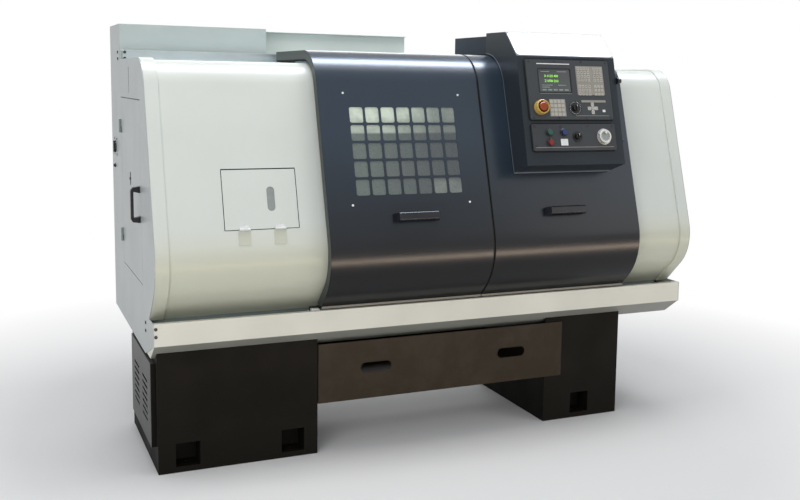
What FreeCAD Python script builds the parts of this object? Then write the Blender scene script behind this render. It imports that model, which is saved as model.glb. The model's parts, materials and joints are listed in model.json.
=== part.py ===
"""Fully enclosed flat-bed CNC turning lathe, in millimetres.

While it is modelled, X runs along the bed from the outer face of the left end plate, Y runs from
the front plane of the chip pan to the back, and Z is up from the floor.  The finished machine is
moved so that its origin lies on the floor, below the middle of its overall box.
"""
import FreeCAD, Part
import math
import os

V = FreeCAD.Vector

# ---------------------------------------------------------------- overall machine
PAN_LENGTH = 2500.0
PAN_DEPTH = 839.0
PAN_FRONT_TOP = 632.0
PAN_STRIP_HEIGHT = 92.0
PAN_SLOPE_DEPTH = 100.0
PAN_FLOOR_Z = 470.0
PAN_SHEET = 4.0
PAN_LIP = 22.0
SHEET = 2.5
PLATE = 3.0
RUN_GAP = 0.3
FIT_GAP = 0.1

# ---------------------------------------------------------------- curved covers and doors
COVER_TOP_Z = 1650.0
COVER_SHOULDER_Y = 172.0
COVER_BULGE_Y = -83.0
COVER_BULGE_Z = 816.0
COVER_UNDER_SLOPE = 204.0 / 210.0
COVER_FOOT_Z = 624.0
COVER_SHOULDER_R = 126.0
COVER_BULGE_R = 193.0
COVER_HEM = 26.0
EDGE_BAND = 55.0
EDGE_BAND_PROUD = 8.0
DOOR_PROUD = 55.0
DOOR_FLANGE = 38.0
DOOR_FOOT_Z = 647.0
DOOR_HEM = 10.0
DOOR_SEAM_GAP = 5.0
LEFT_DOOR_X = 684.0
RIGHT_COVER_WIDTH = 324.0
RIGHT_DOOR_X = PAN_LENGTH - RIGHT_COVER_WIDTH
DOOR_SEAM_SHIFT = 6.0
DOOR_SEAM_X = (LEFT_DOOR_X + RIGHT_DOOR_X) / 2.0 - DOOR_SEAM_SHIFT
COVER_UNDER_DOOR = 16.0
DOOR_ROOF_REAR_Y = 702.0
DOOR_REAR_FLANGE = 40.0

# ---------------------------------------------------------------- door window, screws and handles
WINDOW_X = (LEFT_DOOR_X + DOOR_SEAM_X) / 2.0
WINDOW_Z = 1292.0
WINDOW_COLUMNS = 7
WINDOW_ROWS = 5
WINDOW_PITCH_X = 70.0
WINDOW_PITCH_Y = 77.0
WINDOW_CELL_W = 60.0
WINDOW_CELL_H = 67.0
WINDOW_CELL_R = 9.0
WINDOW_MARGIN = 30.0
WINDOW_PANE = 6.0
LEFT_HANDLE_INSET = 382.0
RIGHT_HANDLE_INSET = 362.0
LEFT_HANDLE_X = LEFT_DOOR_X + LEFT_HANDLE_INSET
RIGHT_HANDLE_X = DOOR_SEAM_X + RIGHT_HANDLE_INSET
HANDLE_Z = 1018.0
HANDLE_LENGTH = 206.0
HANDLE_STANDOFF = 44.0
HANDLE_GRIP = 18.0
HANDLE_WIDTH = 34.0
HANDLE_FOOT = 24.0
HANDLE_SHOULDER = 15.0
HANDLE_TOE = 10.0
HANDLE_ROUND = 7.0

# ---------------------------------------------------------------- access flap in the left cover
FLAP_X = 426.0
FLAP_Z = 1106.0
FLAP_WIDTH = 298.0
FLAP_HEIGHT = 241.0
FLAP_SHEET = 2.0
FLAP_GAP = 3.0
FLAP_SLOT_OFFSET = 43.0
FLAP_SLOT_WIDTH = 32.0
FLAP_SLOT_HEIGHT = 99.0
FLAP_HINGE_OFFSET = 72.0
FLAP_HINGE_WIDTH = 44.0
FLAP_KNUCKLE_R = 5.0

# ---------------------------------------------------------------- pedestals
PEDESTAL_FRONT_Y = 58.0
PEDESTAL_REAR_Y = 743.0
LEFT_PEDESTAL_X = 20.0
LEFT_PEDESTAL_WIDTH = 662.0
RIGHT_PEDESTAL_INSET = 712.0
RIGHT_PEDESTAL_X = PAN_LENGTH - RIGHT_PEDESTAL_INSET
RIGHT_PEDESTAL_WIDTH = 405.0
PEDESTAL_WALL = 12.0
PEDESTAL_TOP = 20.0
POCKET_WIDTH = 97.0
POCKET_FLOOR = 24.0
POCKET_HEIGHT = 97.0
POCKET_DEPTH = 90.0
POCKET_WALL = 10.0
ANCHOR_R = 13.0
LEFT_POCKET_INSET = 118.0
VENT_FRONT_Y = 100.0
VENT_REAR_Y = 625.0
VENT_PROUD = 20.0
VENT_BOTTOM_Z = 104.0
VENT_TOP_Z = 450.0
VENT_MARGIN = 40.0
VENT_ROWS = 7
VENT_SLOT_PITCH = 27.0
VENT_SLOT_LENGTH = 132.0
VENT_SLOT_HEIGHT = 11.0
VENT_FIRST_Z = 189.0
VENT_COLUMN_Y = (252.0, 475.0)

# ---------------------------------------------------------------- swarf tray between the pedestals
TRAY_FRONT_Y = PEDESTAL_FRONT_Y - PLATE - RUN_GAP
TRAY_OVER_PEDESTAL = 88.0
TRAY_RIGHT_X = RIGHT_PEDESTAL_X + TRAY_OVER_PEDESTAL
TRAY_BOTTOM_Z = 217.0
TRAY_TOP_Z = 474.0
TRAY_BODY_DEPTH = 600.0
TRAY_BODY_HEIGHT = 110.0
TRAY_SLOT_WIDTH = 140.0
TRAY_SLOT_HEIGHT = 45.0
TRAY_SLOT_Z = 354.0
TRAY_SLOT_INSET = 263.0
TRAY_SLOT_END = 270.0
TRAY_SLOT_X = (LEFT_PEDESTAL_X + LEFT_PEDESTAL_WIDTH + TRAY_SLOT_INSET, TRAY_RIGHT_X - TRAY_SLOT_END)
TRAY_SIDE_GAP = 12.0
TRAY_RAIL = 30.0

# ---------------------------------------------------------------- bed, headstock and spindle
SPINDLE_Y = 420.0
SPINDLE_Z = 1110.0
BED_LEFT_X = 140.0
BED_REACH = 444.0
BED_RIGHT_X = RIGHT_PEDESTAL_X + BED_REACH
BED_TOP_Z = 850.0
BED_FRONT_WAY_Y = 247.0
BED_REAR_WAY_Y = 593.0
BED_WALL = 54.0
BED_FOOT_HEIGHT = 26.0
BED_FOOT_OVERHANG = 40.0
BED_RIB = 14.0
BED_RIB_PITCH = 340.0
BED_RIB_ABOVE_FLOOR = 60.0
BED_RIB_BELOW_TOP = 40.0
BED_FOOT_SETBACK = 20.0
WAY_HALF = 14.0
WAY_HEIGHT = 13.0
HEADSTOCK_LEFT_X = 150.0
HEADSTOCK_RIGHT_X = 560.0
HEADSTOCK_TOP_Z = 1290.0
HEADSTOCK_DRAFT = 22.0
JOURNAL_R = 75.0
SPINDLE_BORE_R = 41.0
SPINDLE_FLANGE_R = 105.0
SPINDLE_FLANGE_THICK = 32.0
SPINDLE_TAIL_R = 55.0
CHUCK_R = 125.0
CHUCK_THICK = 92.0
JAW_COUNT = 3
JAW_WIDTH = 32.0
JAW_LENGTH = 78.0
JAW_REST_R = 32.0
JAW_SLOT_DEPTH = 22.0
JAW_PROUD = 44.0
PULLEY_LEFT_X = 62.0
PULLEY_WIDTH = 56.0
SPINDLE_PULLEY_R = 120.0
MOTOR_PULLEY_R = 72.0
PULLEY_GROOVES = 3
GROOVE_DEPTH = 7.0
BELT_THICK = 8.0
MOTOR_Z = 290.0
MOTOR_R = 112.0
MOTOR_LENGTH = 330.0
MOTOR_SHAFT_R = 19.0
MOTOR_FINS = 12
MOTOR_FIN = 10.0
MOTOR_SHELF_Z = 150.0
MOTOR_GAP = 14.0

# ---------------------------------------------------------------- carriage, turret and tailstock
SADDLE_X = 1200.0
SADDLE_LENGTH = 360.0
SADDLE_THICK = 78.0
SADDLE_FRONT_Y = 150.0
SADDLE_REAR_Y = 660.0
APRON_DEPTH = 60.0
APRON_BOTTOM_Z = 700.0
SCREW_Y = 186.0
SCREW_Z = 760.0
SCREW_R = 16.0
SCREW_LEFT_X = 640.0
BRACKET_THICK = 45.0
BRACKET_SIZE = 84.0
SERVO_SIZE = 110.0
SERVO_LENGTH = 190.0
DOVETAIL_TOP = 150.0
DOVETAIL_BASE = 110.0
DOVETAIL_HEIGHT = 26.0
CROSS_SLIDE_WIDTH = 200.0
CROSS_SLIDE_FRONT_Y = 165.0
CROSS_SLIDE_LENGTH = 380.0
CROSS_SLIDE_THICK = 55.0
TURRET_Y = 275.0
TURRET_SIZE = 170.0
TURRET_BASE_HEIGHT = 42.0
TURRET_HEIGHT = 100.0
TOOL_SHANK = 25.0
TOOL_OVERHANG = 42.0
TOOL_LENGTH = 120.0
TAILSTOCK_FROM_END = 352.0
TAILSTOCK_LEFT_X = BED_RIGHT_X - TAILSTOCK_FROM_END
TAILSTOCK_LENGTH = 300.0
BARREL_R = 62.0
QUILL_R = 37.5
QUILL_PROUD = 34.0
QUILL_SCREW_R = 12.0
TAILSTOCK_CAP = 15.0
CENTRE_R = 17.0
CENTRE_PROUD = 66.0
WHEEL_R = 100.0
WHEEL_THICK = 22.0
WHEEL_RIM = 22.0
WHEEL_OFFSET = 12.0
WHEEL_SPOKES = 3
SPOKE_WIDTH = 16.0
SPOKE_THICK = 12.0
CRANK_R = 8.0
CRANK_LENGTH = 60.0

# ---------------------------------------------------------------- end plates, rail, rear enclosure
RAIL_Y = 745.0
RAIL_HEIGHT = 47.0
RAIL_DEPTH = 50.0
RAIL_LIP = 45.0
SILL_Y = 118.5
SILL_SHELF_Z = 607.0
SILL_SHELF_Y = 60.0
SILL_LIP = 10.0
SILL_TOP_Z = 650.0
SILL_INSET = 60.0
SILL_RIGHT_X = PAN_LENGTH - SILL_INSET
CABINET_FRONT_Y = 839.0
CABINET_REAR_Y = 1159.0
CABINET_BOTTOM_Z = 476.0
CABINET_RISE = 165.0
CABINET_TOP_Z = COVER_TOP_Z + CABINET_RISE
CABINET_WIDTH = 672.0
PLATE_TIP_Y = 211.0
PLATE_TIP_Z = 465.0
REAR_GUARD_Y = 1000.0
REAR_GUARD_LOW = 1053.0
REAR_GUARD_RIGHT_X = PAN_LENGTH - REAR_GUARD_LOW
REAR_GUARD_SLOPE_Z = 800.0
SIDE_DOOR_FRONT_Y = 245.0
SIDE_DOOR_REAR_Y = 812.0
SIDE_DOOR_BOTTOM_Z = 742.0
SIDE_DOOR_TOP_Z = 1488.0
SIDE_DOOR_GAP = 3.0
SIDE_DOOR_FOLD = 18.0
SIDE_HINGE_Z = (869.0, 1361.0)
SIDE_HANDLE_Y = 272.0
SIDE_HANDLE_Z = 1066.0
SIDE_HANDLE_LENGTH = 150.0
SIDE_HANDLE_STANDOFF = 38.0
PLATE_SLOT_Y = 548.0
PLATE_SLOT_Z = 1567.0
PLATE_SLOT_WIDTH = 14.0
PLATE_SLOT_HEIGHT = 112.0
KNUCKLE_R = 5.0
KNUCKLE_LENGTH = 30.0
SWITCH_Y = 1015.0
SWITCH_Z = 1256.0
SWITCH_PLATE = 86.0
SWITCH_SEAT = 2.0
SWITCH_KNOB_R = 28.0
SWITCH_DISC = 5.0
SWITCH_GRIP = 6.0
SWITCH_GRIP_WIDTH = 12.0
REAR_DOOR_MARGIN = 24.0
REAR_DOOR_THICK = 20.0
LATCH_R = 16.0

# ---------------------------------------------------------------- hanging operator console
CONSOLE_FROM_END = 950.0
CONSOLE_LEFT_X = PAN_LENGTH - CONSOLE_FROM_END
CONSOLE_WIDTH = 500.0
CONSOLE_TOP_Y = -29.0
CONSOLE_TOP_Z = 1700.0
CONSOLE_BOTTOM_Y = -154.0
CONSOLE_BOTTOM_Z = 1230.0
CONSOLE_UNDER_Z = 1190.0
HOOD_FRONT_Y = 79.0
HOOD_REAR_Y = 265.0
HOOD_TOP_Z = 1805.0
CONSOLE_DOOR_GAP = 6.0
CONSOLE_SHEET = 3.0
ARM_INSET = 90.0
ARM_LEFT_X = CONSOLE_LEFT_X + ARM_INSET
ARM_WIDTH = 120.0
ARM_TOP_Z = 1800.0
ARM_REAR_Y = 790.0
PANEL_LEFT = 34.0
PANEL_WIDTH = 424.0
PANEL_TOP = 18.0
PANEL_HEIGHT = 268.0
PANEL_THICK = 10.0
PANEL_CORNER_R = 8.0
SWITCH_PANEL_TOP = 306.0
SWITCH_PANEL_HEIGHT = 118.0
SCREEN_AT = (173.0, 111.0)
SCREEN_SIZE = (162.0, 104.0)
ESTOP_AT = (88.0, 233.0)
DIAL_AT = (263.0, 234.0)
GREEN_AT = (117.0, 344.0)
RED_AT = (117.0, 388.0)
BLUE_AT = (190.0, 344.0)
MODE_AT = (258.0, 363.0)
PULSE_AT = (396.0, 364.0)
BUTTON_R = 12.0
BUTTON_PROUD = 9.0
ESTOP_R = 20.0
DIAL_R = 15.0
PULSE_R = 30.0
KEY_SIZE = 13.0
KEY_PITCH = 17.0
KEY_HEIGHT = 2.0
EDIT_KEYS_AT = (290.0, 50.0)
DATA_KEYS_AT = (372.0, 50.0)
PAGE_KEYS_AT = (290.0, 130.0)
NUMBER_KEYS_AT = (372.0, 130.0)
MODE_KEYS_AT = (136.0, 198.0)
MODE_KEY_SIZE = 15.0
MODE_KEY_PITCH = 19.0
JOG_AT = (353.5, 235.5)


# ================================================================ small shape helpers
def box(x0, x1, y0, y1, z0, z1):
    """Block between two corners."""
    return Part.makeBox(x1 - x0, y1 - y0, z1 - z0, V(x0, y0, z0))


def rod(x0, x1, y, z, radius):
    """Cylinder along X."""
    return Part.makeCylinder(radius, x1 - x0, V(x0, y, z), V(1, 0, 0))


def post(x, y, z0, z1, radius):
    """Cylinder along Z."""
    return Part.makeCylinder(radius, z1 - z0, V(x, y, z0), V(0, 0, 1))


def join(shapes):
    """One shape from overlapping or touching ones."""
    shapes = list(shapes)
    whole = shapes[0]
    if len(shapes) > 1:
        whole = shapes[0].multiFuse(shapes[1:])
    return whole.removeSplitter()


def extrude_x(points, x0, x1):
    """Prism along X over a polygon of (Y, Z) points."""
    ring = [V(x0, y, z) for y, z in points]
    ring.append(ring[0])
    return Part.Face(Part.makePolygon(ring)).extrude(V(x1 - x0, 0, 0))


def turned(profile, y, z):
    """Solid of revolution about an axis along X, from (X, radius) points."""
    ring = [V(x, y + radius, z) for x, radius in profile]
    ring.append(ring[0])
    face = Part.Face(Part.makePolygon(ring))
    return face.revolve(V(0, y, z), V(1, 0, 0), 360)


def rounded_rect(width, height, radius, depth, z=0.0):
    """Prism with rounded corners, centred on the local origin, growing along local Z."""
    a = width / 2.0 - radius
    b = height / 2.0 - radius
    edges = []
    corners = [(a, b, 0), (-a, b, 90), (-a, -b, 180), (a, -b, 270)]
    ends = []
    for cx, cy, start in corners:
        points = []
        for angle in (start, start + 45, start + 90):
            turn = math.radians(angle)
            points.append(V(cx + radius * math.cos(turn), cy + radius * math.sin(turn), z))
        edges.append(Part.Arc(*points).toShape())
        ends.append((points[0], points[2]))
    joined = []
    for index, edge in enumerate(edges):
        joined.append(edge)
        start = ends[index][1]
        stop = ends[(index + 1) % 4][0]
        if start.distanceToPoint(stop) > 1e-6:
            joined.append(Part.makeLine(start, stop))
    return Part.Face(Part.Wire(joined)).extrude(V(0, 0, depth))


def placed(shape, placement):
    """Copy of a shape moved by a placement."""
    moved = shape.copy()
    moved.Placement = placement.multiply(moved.Placement)
    return moved


# ================================================================ the curved outline of the covers
def outline_corners(offset, rear_y, foot_z):
    """Corners of the cover outline, offset outwards: roof end, shoulder, bulge and foot."""
    roof = ((rear_y, COVER_TOP_Z), (COVER_SHOULDER_Y, COVER_TOP_Z))
    front = ((COVER_SHOULDER_Y, COVER_TOP_Z), (COVER_BULGE_Y, COVER_BULGE_Z))
    under = ((COVER_BULGE_Y, COVER_BULGE_Z), (COVER_BULGE_Y + 100.0, COVER_BULGE_Z - 100.0 * COVER_UNDER_SLOPE))
    lines = [shifted_line(start, stop, offset) for start, stop in (roof, front, under)]
    shoulder = crossing(lines[0], lines[1])
    bulge = crossing(lines[1], lines[2])
    (uy, uz), (dy, dz) = lines[2]
    foot = (uy + dy * (foot_z - uz) / dz, foot_z)
    return [(rear_y, COVER_TOP_Z + offset), shoulder, bulge, foot]


def shifted_line(start, stop, offset):
    """A line moved to its outer side, as a point and a direction."""
    dy = stop[0] - start[0]
    dz = stop[1] - start[1]
    length = math.hypot(dy, dz)
    return (start[0] + offset * dz / length, start[1] - offset * dy / length), (dy / length, dz / length)


def crossing(first, second):
    """Point where two lines meet."""
    (ay, az), (ady, adz) = first
    (by, bz), (bdy, bdz) = second
    cross = ady * bdz - adz * bdy
    step = ((by - ay) * bdz - (bz - az) * bdy) / cross
    return ay + ady * step, az + adz * step


def rounded_edges(points, radii, x):
    """Edges through (Y, Z) points, with the inner corners rounded."""
    edges = []
    cursor = V(x, *points[0])
    for index in range(1, len(points) - 1):
        corner = V(x, *points[index])
        back = (V(x, *points[index - 1]) - corner).normalize()
        ahead = (V(x, *points[index + 1]) - corner).normalize()
        half = back.getAngle(ahead) / 2.0
        radius = radii[index - 1]
        reach = radius / math.tan(half)
        centre = corner + (back + ahead).normalize() * (radius / math.sin(half))
        start = corner + back * reach
        stop = corner + ahead * reach
        middle = centre + (corner - centre).normalize() * radius
        edges.append(Part.makeLine(cursor, start))
        edges.append(Part.Arc(start, middle, stop).toShape())
        cursor = stop
    edges.append(Part.makeLine(cursor, V(x, *points[-1])))
    return edges


def outline_edges(offset, rear_y, foot_z, x):
    """Edges of the cover outline at an offset."""
    radii = (COVER_SHOULDER_R + offset, COVER_BULGE_R + offset)
    return rounded_edges(outline_corners(offset, rear_y, foot_z), radii, x)


def curved_sheet(outer, inner, rear_y, foot_z, x0, x1):
    """Curved wall between two offsets of the cover outline, from roof to foot."""
    far = outline_edges(outer, rear_y, foot_z, x0)
    near = outline_edges(inner, rear_y, foot_z, x0)
    caps = []
    for index in (0, -1):
        start = far[index].Vertexes[0 if index == 0 else -1].Point
        stop = near[index].Vertexes[0 if index == 0 else -1].Point
        caps.append(Part.makeLine(start, stop))
    wire = Part.Wire(Part.__sortEdges__(far + near + caps))
    return Part.Face(wire).extrude(V(x1 - x0, 0, 0))


def curved_block(offset, rear_y, foot_z, x0, x1):
    """Everything inside the cover outline at an offset, down to a level."""
    edges = outline_edges(offset, rear_y, foot_z, x0)
    start = edges[0].Vertexes[0].Point
    stop = edges[-1].Vertexes[-1].Point
    corner = V(x0, rear_y, foot_z)
    edges.append(Part.makeLine(stop, corner))
    edges.append(Part.makeLine(corner, start))
    return Part.Face(Part.Wire(Part.__sortEdges__(edges))).extrude(V(x1 - x0, 0, 0))


def slope_y(z, offset):
    """Y of the straight front stretch at a height."""
    _, shoulder, bulge, _ = outline_corners(offset, RAIL_Y, COVER_FOOT_Z)
    share = (shoulder[1] - z) / (shoulder[1] - bulge[1])
    return shoulder[0] + share * (bulge[0] - shoulder[0])


def on_front(x, z, offset):
    """Placement on the sloping front: local Y runs up the slope, local Z points outwards."""
    rise = COVER_TOP_Z - COVER_BULGE_Z
    run = COVER_SHOULDER_Y - COVER_BULGE_Y
    tilt = math.degrees(math.atan2(rise, run))
    return FreeCAD.Placement(V(x, slope_y(z, offset), z), FreeCAD.Rotation(V(1, 0, 0), tilt))


def on_console(at, height=0.0):
    """Placement on the console's face, from its upper left corner: at is (right, down)."""
    rise = CONSOLE_TOP_Z - CONSOLE_BOTTOM_Z
    run = CONSOLE_TOP_Y - CONSOLE_BOTTOM_Y
    length = math.hypot(rise, run)
    tilt = math.degrees(math.atan2(rise, run))
    y = CONSOLE_TOP_Y - at[1] * run / length
    z = CONSOLE_TOP_Z - at[1] * rise / length
    turn = FreeCAD.Rotation(V(1, 0, 0), tilt)
    base = V(CONSOLE_LEFT_X + at[0], y, z) + turn.multVec(V(0, 0, height))
    return FreeCAD.Placement(base, turn)


# ================================================================ pedestals, pan and tray
def pedestal(left, width, pocket_xs):
    """Cast pedestal, open below, with anchor pockets in its front and back feet."""
    right = left + width
    slope = (PAN_FRONT_TOP - PAN_STRIP_HEIGHT - PAN_FLOOR_Z) / PAN_SLOPE_DEPTH
    front_top = PAN_FLOOR_Z + slope * (PAN_SLOPE_DEPTH - PEDESTAL_FRONT_Y)
    side = [(PEDESTAL_FRONT_Y, 0), (PEDESTAL_REAR_Y, 0), (PEDESTAL_REAR_Y, PAN_FLOOR_Z),
            (PAN_SLOPE_DEPTH, PAN_FLOOR_Z), (PEDESTAL_FRONT_Y, front_top)]
    shape = extrude_x(side, left, right)
    shape = shape.cut(box(left + PEDESTAL_WALL, right - PEDESTAL_WALL, PEDESTAL_FRONT_Y + PEDESTAL_WALL,
                          PEDESTAL_REAR_Y - PEDESTAL_WALL, -1, PAN_FLOOR_Z - PEDESTAL_TOP))
    depth = POCKET_DEPTH + POCKET_WALL
    height = POCKET_FLOOR + POCKET_HEIGHT
    blocks = []
    voids = []
    for x in pocket_xs:
        x0 = x - POCKET_WIDTH / 2.0
        x1 = x + POCKET_WIDTH / 2.0
        for front in (True, False):
            y0 = PEDESTAL_FRONT_Y if front else PEDESTAL_REAR_Y - depth
            blocks.append(box(x0 - POCKET_WALL, x1 + POCKET_WALL, y0, y0 + depth, 0, height + POCKET_WALL))
            v0 = y0 - 1 if front else y0 + POCKET_WALL
            voids.append(box(x0, x1, v0, v0 + POCKET_DEPTH + 1, POCKET_FLOOR, height))
            anchor_y = y0 + POCKET_DEPTH / 2.0 + (0 if front else POCKET_WALL)
            voids.append(post(x, anchor_y, -1, POCKET_FLOOR + 1, ANCHOR_R))
    shape = join([shape] + blocks)
    for void in voids:
        shape = shape.cut(void)
    return shape


def tray_rail(x0, x1):
    """Ledge on a pedestal's inner side that carries the swarf tray."""
    top = TRAY_BOTTOM_Z + PLATE
    return box(x0, x1, PEDESTAL_FRONT_Y + TRAY_RAIL, PEDESTAL_REAR_Y, top - PEDESTAL_WALL, top)


def belt_opening(z0, z1):
    """Opening for the drive belt."""
    reach = SPINDLE_PULLEY_R + 20
    return box(PULLEY_LEFT_X - 12, PULLEY_LEFT_X + PULLEY_WIDTH + 10, SPINDLE_Y - reach, SPINDLE_Y + reach, z0, z1)


def left_pedestal():
    """Pedestal below the headstock, with the motor shelf and the opening for the belt."""
    right = LEFT_PEDESTAL_X + LEFT_PEDESTAL_WIDTH
    pockets = (LEFT_PEDESTAL_X + LEFT_POCKET_INSET, right - LEFT_POCKET_INSET + 10)
    shape = pedestal(LEFT_PEDESTAL_X, LEFT_PEDESTAL_WIDTH, pockets)
    shelf = box(PULLEY_LEFT_X + PULLEY_WIDTH + 12, right - PEDESTAL_WALL, PEDESTAL_FRONT_Y + PEDESTAL_WALL,
                PEDESTAL_REAR_Y - PEDESTAL_WALL, MOTOR_SHELF_Z - PEDESTAL_WALL, MOTOR_SHELF_Z)
    shape = join([shape, shelf, tray_rail(right, right + TRAY_RAIL)])
    vent = box(LEFT_PEDESTAL_X - 1, LEFT_PEDESTAL_X + PEDESTAL_WALL + 1, VENT_FRONT_Y + VENT_MARGIN,
               VENT_REAR_Y - VENT_MARGIN, VENT_BOTTOM_Z + VENT_MARGIN, VENT_TOP_Z - VENT_MARGIN)
    return shape.cut(vent).cut(belt_opening(PAN_FLOOR_Z - PEDESTAL_TOP - 1, PAN_FLOOR_Z + 1))


def right_pedestal():
    """Pedestal below the tailstock end."""
    middle = RIGHT_PEDESTAL_X + RIGHT_PEDESTAL_WIDTH / 2.0 - 6
    shape = pedestal(RIGHT_PEDESTAL_X, RIGHT_PEDESTAL_WIDTH, (middle,))
    return join([shape, tray_rail(RIGHT_PEDESTAL_X - TRAY_RAIL, RIGHT_PEDESTAL_X)])


def pedestal_vent():
    """Shallow slotted cover on the left pedestal's side."""
    x0 = LEFT_PEDESTAL_X - VENT_PROUD
    shape = box(x0, LEFT_PEDESTAL_X, VENT_FRONT_Y, VENT_REAR_Y, VENT_BOTTOM_Z, VENT_TOP_Z)
    shape = shape.cut(box(x0 + SHEET, LEFT_PEDESTAL_X + 1, VENT_FRONT_Y + SHEET, VENT_REAR_Y - SHEET,
                          VENT_BOTTOM_Z + SHEET, VENT_TOP_Z - SHEET))
    for middle in VENT_COLUMN_Y:
        y0 = middle - VENT_SLOT_LENGTH / 2.0
        for row in range(VENT_ROWS):
            z0 = VENT_FIRST_Z + row * VENT_SLOT_PITCH - VENT_SLOT_HEIGHT / 2.0
            shape = shape.cut(box(x0 - 1, x0 + SHEET + 1, y0, y0 + VENT_SLOT_LENGTH, z0, z0 + VENT_SLOT_HEIGHT))
    return shape


def pan_profile(inset):
    """Cross-section of the pan, moved inwards by a sheet thickness."""
    bottom = PAN_FRONT_TOP - PAN_STRIP_HEIGHT
    slope = (bottom - PAN_FLOOR_Z) / PAN_SLOPE_DEPTH
    lean = math.hypot(1, slope)
    return [(inset, PAN_FRONT_TOP + inset), (inset, bottom + inset * (lean - slope)),
            (PAN_SLOPE_DEPTH + inset * (lean - 1) / slope, PAN_FLOOR_Z + inset),
            (PAN_DEPTH - inset, PAN_FLOOR_Z + inset), (PAN_DEPTH - inset, PAN_FRONT_TOP + inset)]


def chip_pan():
    """Long folded pan that collects coolant and chips, with its drain and belt openings."""
    left = PLATE
    right = PAN_LENGTH - PLATE
    shape = extrude_x(pan_profile(0.0), left, right)
    shape = shape.cut(extrude_x(pan_profile(PAN_SHEET), left + PAN_SHEET, right - PAN_SHEET))
    lip = box(left, right, 0, PAN_LIP, PAN_FRONT_TOP - PAN_SHEET, PAN_FRONT_TOP)
    over_ends = box(left - 1, right + 1, PAN_LIP, PAN_DEPTH - PAN_SHEET, COVER_FOOT_Z - PAN_SHEET, PAN_FRONT_TOP + 1)
    shape = shape.cut(over_ends)
    drain_left = LEFT_PEDESTAL_X + LEFT_PEDESTAL_WIDTH + 90
    drain = box(drain_left, RIGHT_PEDESTAL_X - 90, BED_FRONT_WAY_Y + BED_WALL / 2.0 + 20,
                BED_REAR_WAY_Y - BED_WALL / 2.0 - 20, PAN_FLOOR_Z - 1, PAN_FLOOR_Z + PAN_SHEET + 1)
    return join([shape, lip]).cut(drain).cut(belt_opening(PAN_FLOOR_Z - 1, PAN_FLOOR_Z + PAN_SHEET + 1))


def swarf_tray():
    """Pull-out tray whose wide front closes the space between the pedestals."""
    left = LEFT_PEDESTAL_X + LEFT_PEDESTAL_WIDTH + 2
    front = box(left, TRAY_RIGHT_X, TRAY_FRONT_Y, TRAY_FRONT_Y + PLATE, TRAY_BOTTOM_Z, TRAY_TOP_Z)
    for x in TRAY_SLOT_X:
        slot = rounded_rect(TRAY_SLOT_WIDTH, TRAY_SLOT_HEIGHT, TRAY_SLOT_HEIGHT / 2.0 - 1, 4 * PLATE)
        turn = FreeCAD.Placement(V(x, TRAY_FRONT_Y + 2 * PLATE, TRAY_SLOT_Z), FreeCAD.Rotation(V(1, 0, 0), 90))
        front = front.cut(placed(slot, turn))
    body_left = left - 2 + TRAY_SIDE_GAP
    body_right = RIGHT_PEDESTAL_X - TRAY_SIDE_GAP
    bottom = TRAY_BOTTOM_Z + PLATE + RUN_GAP
    rear = TRAY_FRONT_Y + PLATE + TRAY_BODY_DEPTH
    body = box(body_left, body_right, TRAY_FRONT_Y + PLATE, rear, bottom, bottom + TRAY_BODY_HEIGHT)
    body = body.cut(box(body_left + PLATE, body_right - PLATE, TRAY_FRONT_Y + 2 * PLATE, rear - PLATE,
                        bottom + PLATE, bottom + TRAY_BODY_HEIGHT + 1))
    hand_room = []
    for x in TRAY_SLOT_X:
        hand_room.append(box(x - TRAY_SLOT_WIDTH / 2.0 - 5, x + TRAY_SLOT_WIDTH / 2.0 + 5, TRAY_FRONT_Y + PLATE,
                             TRAY_FRONT_Y + 2 * PLATE, TRAY_SLOT_Z - TRAY_SLOT_HEIGHT, bottom + TRAY_BODY_HEIGHT + 1))
    shape = join([front, body])
    for room in hand_room:
        shape = shape.cut(room)
    return shape


# ================================================================ bed, headstock and drive
def way_ridges(x0, x1, clearance):
    """The two V ways on top of the bed, or the room that a sliding part leaves for them."""
    ridges = []
    for y in (BED_FRONT_WAY_Y, BED_REAR_WAY_Y):
        grow = clearance * math.hypot(WAY_HALF, WAY_HEIGHT) / WAY_HEIGHT
        lift = clearance * math.hypot(WAY_HALF, WAY_HEIGHT) / WAY_HALF
        ridges.append(extrude_x([(y - WAY_HALF - grow, BED_TOP_Z), (y + WAY_HALF + grow, BED_TOP_Z),
                                 (y, BED_TOP_Z + WAY_HEIGHT + lift)], x0, x1))
    return ridges


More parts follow.
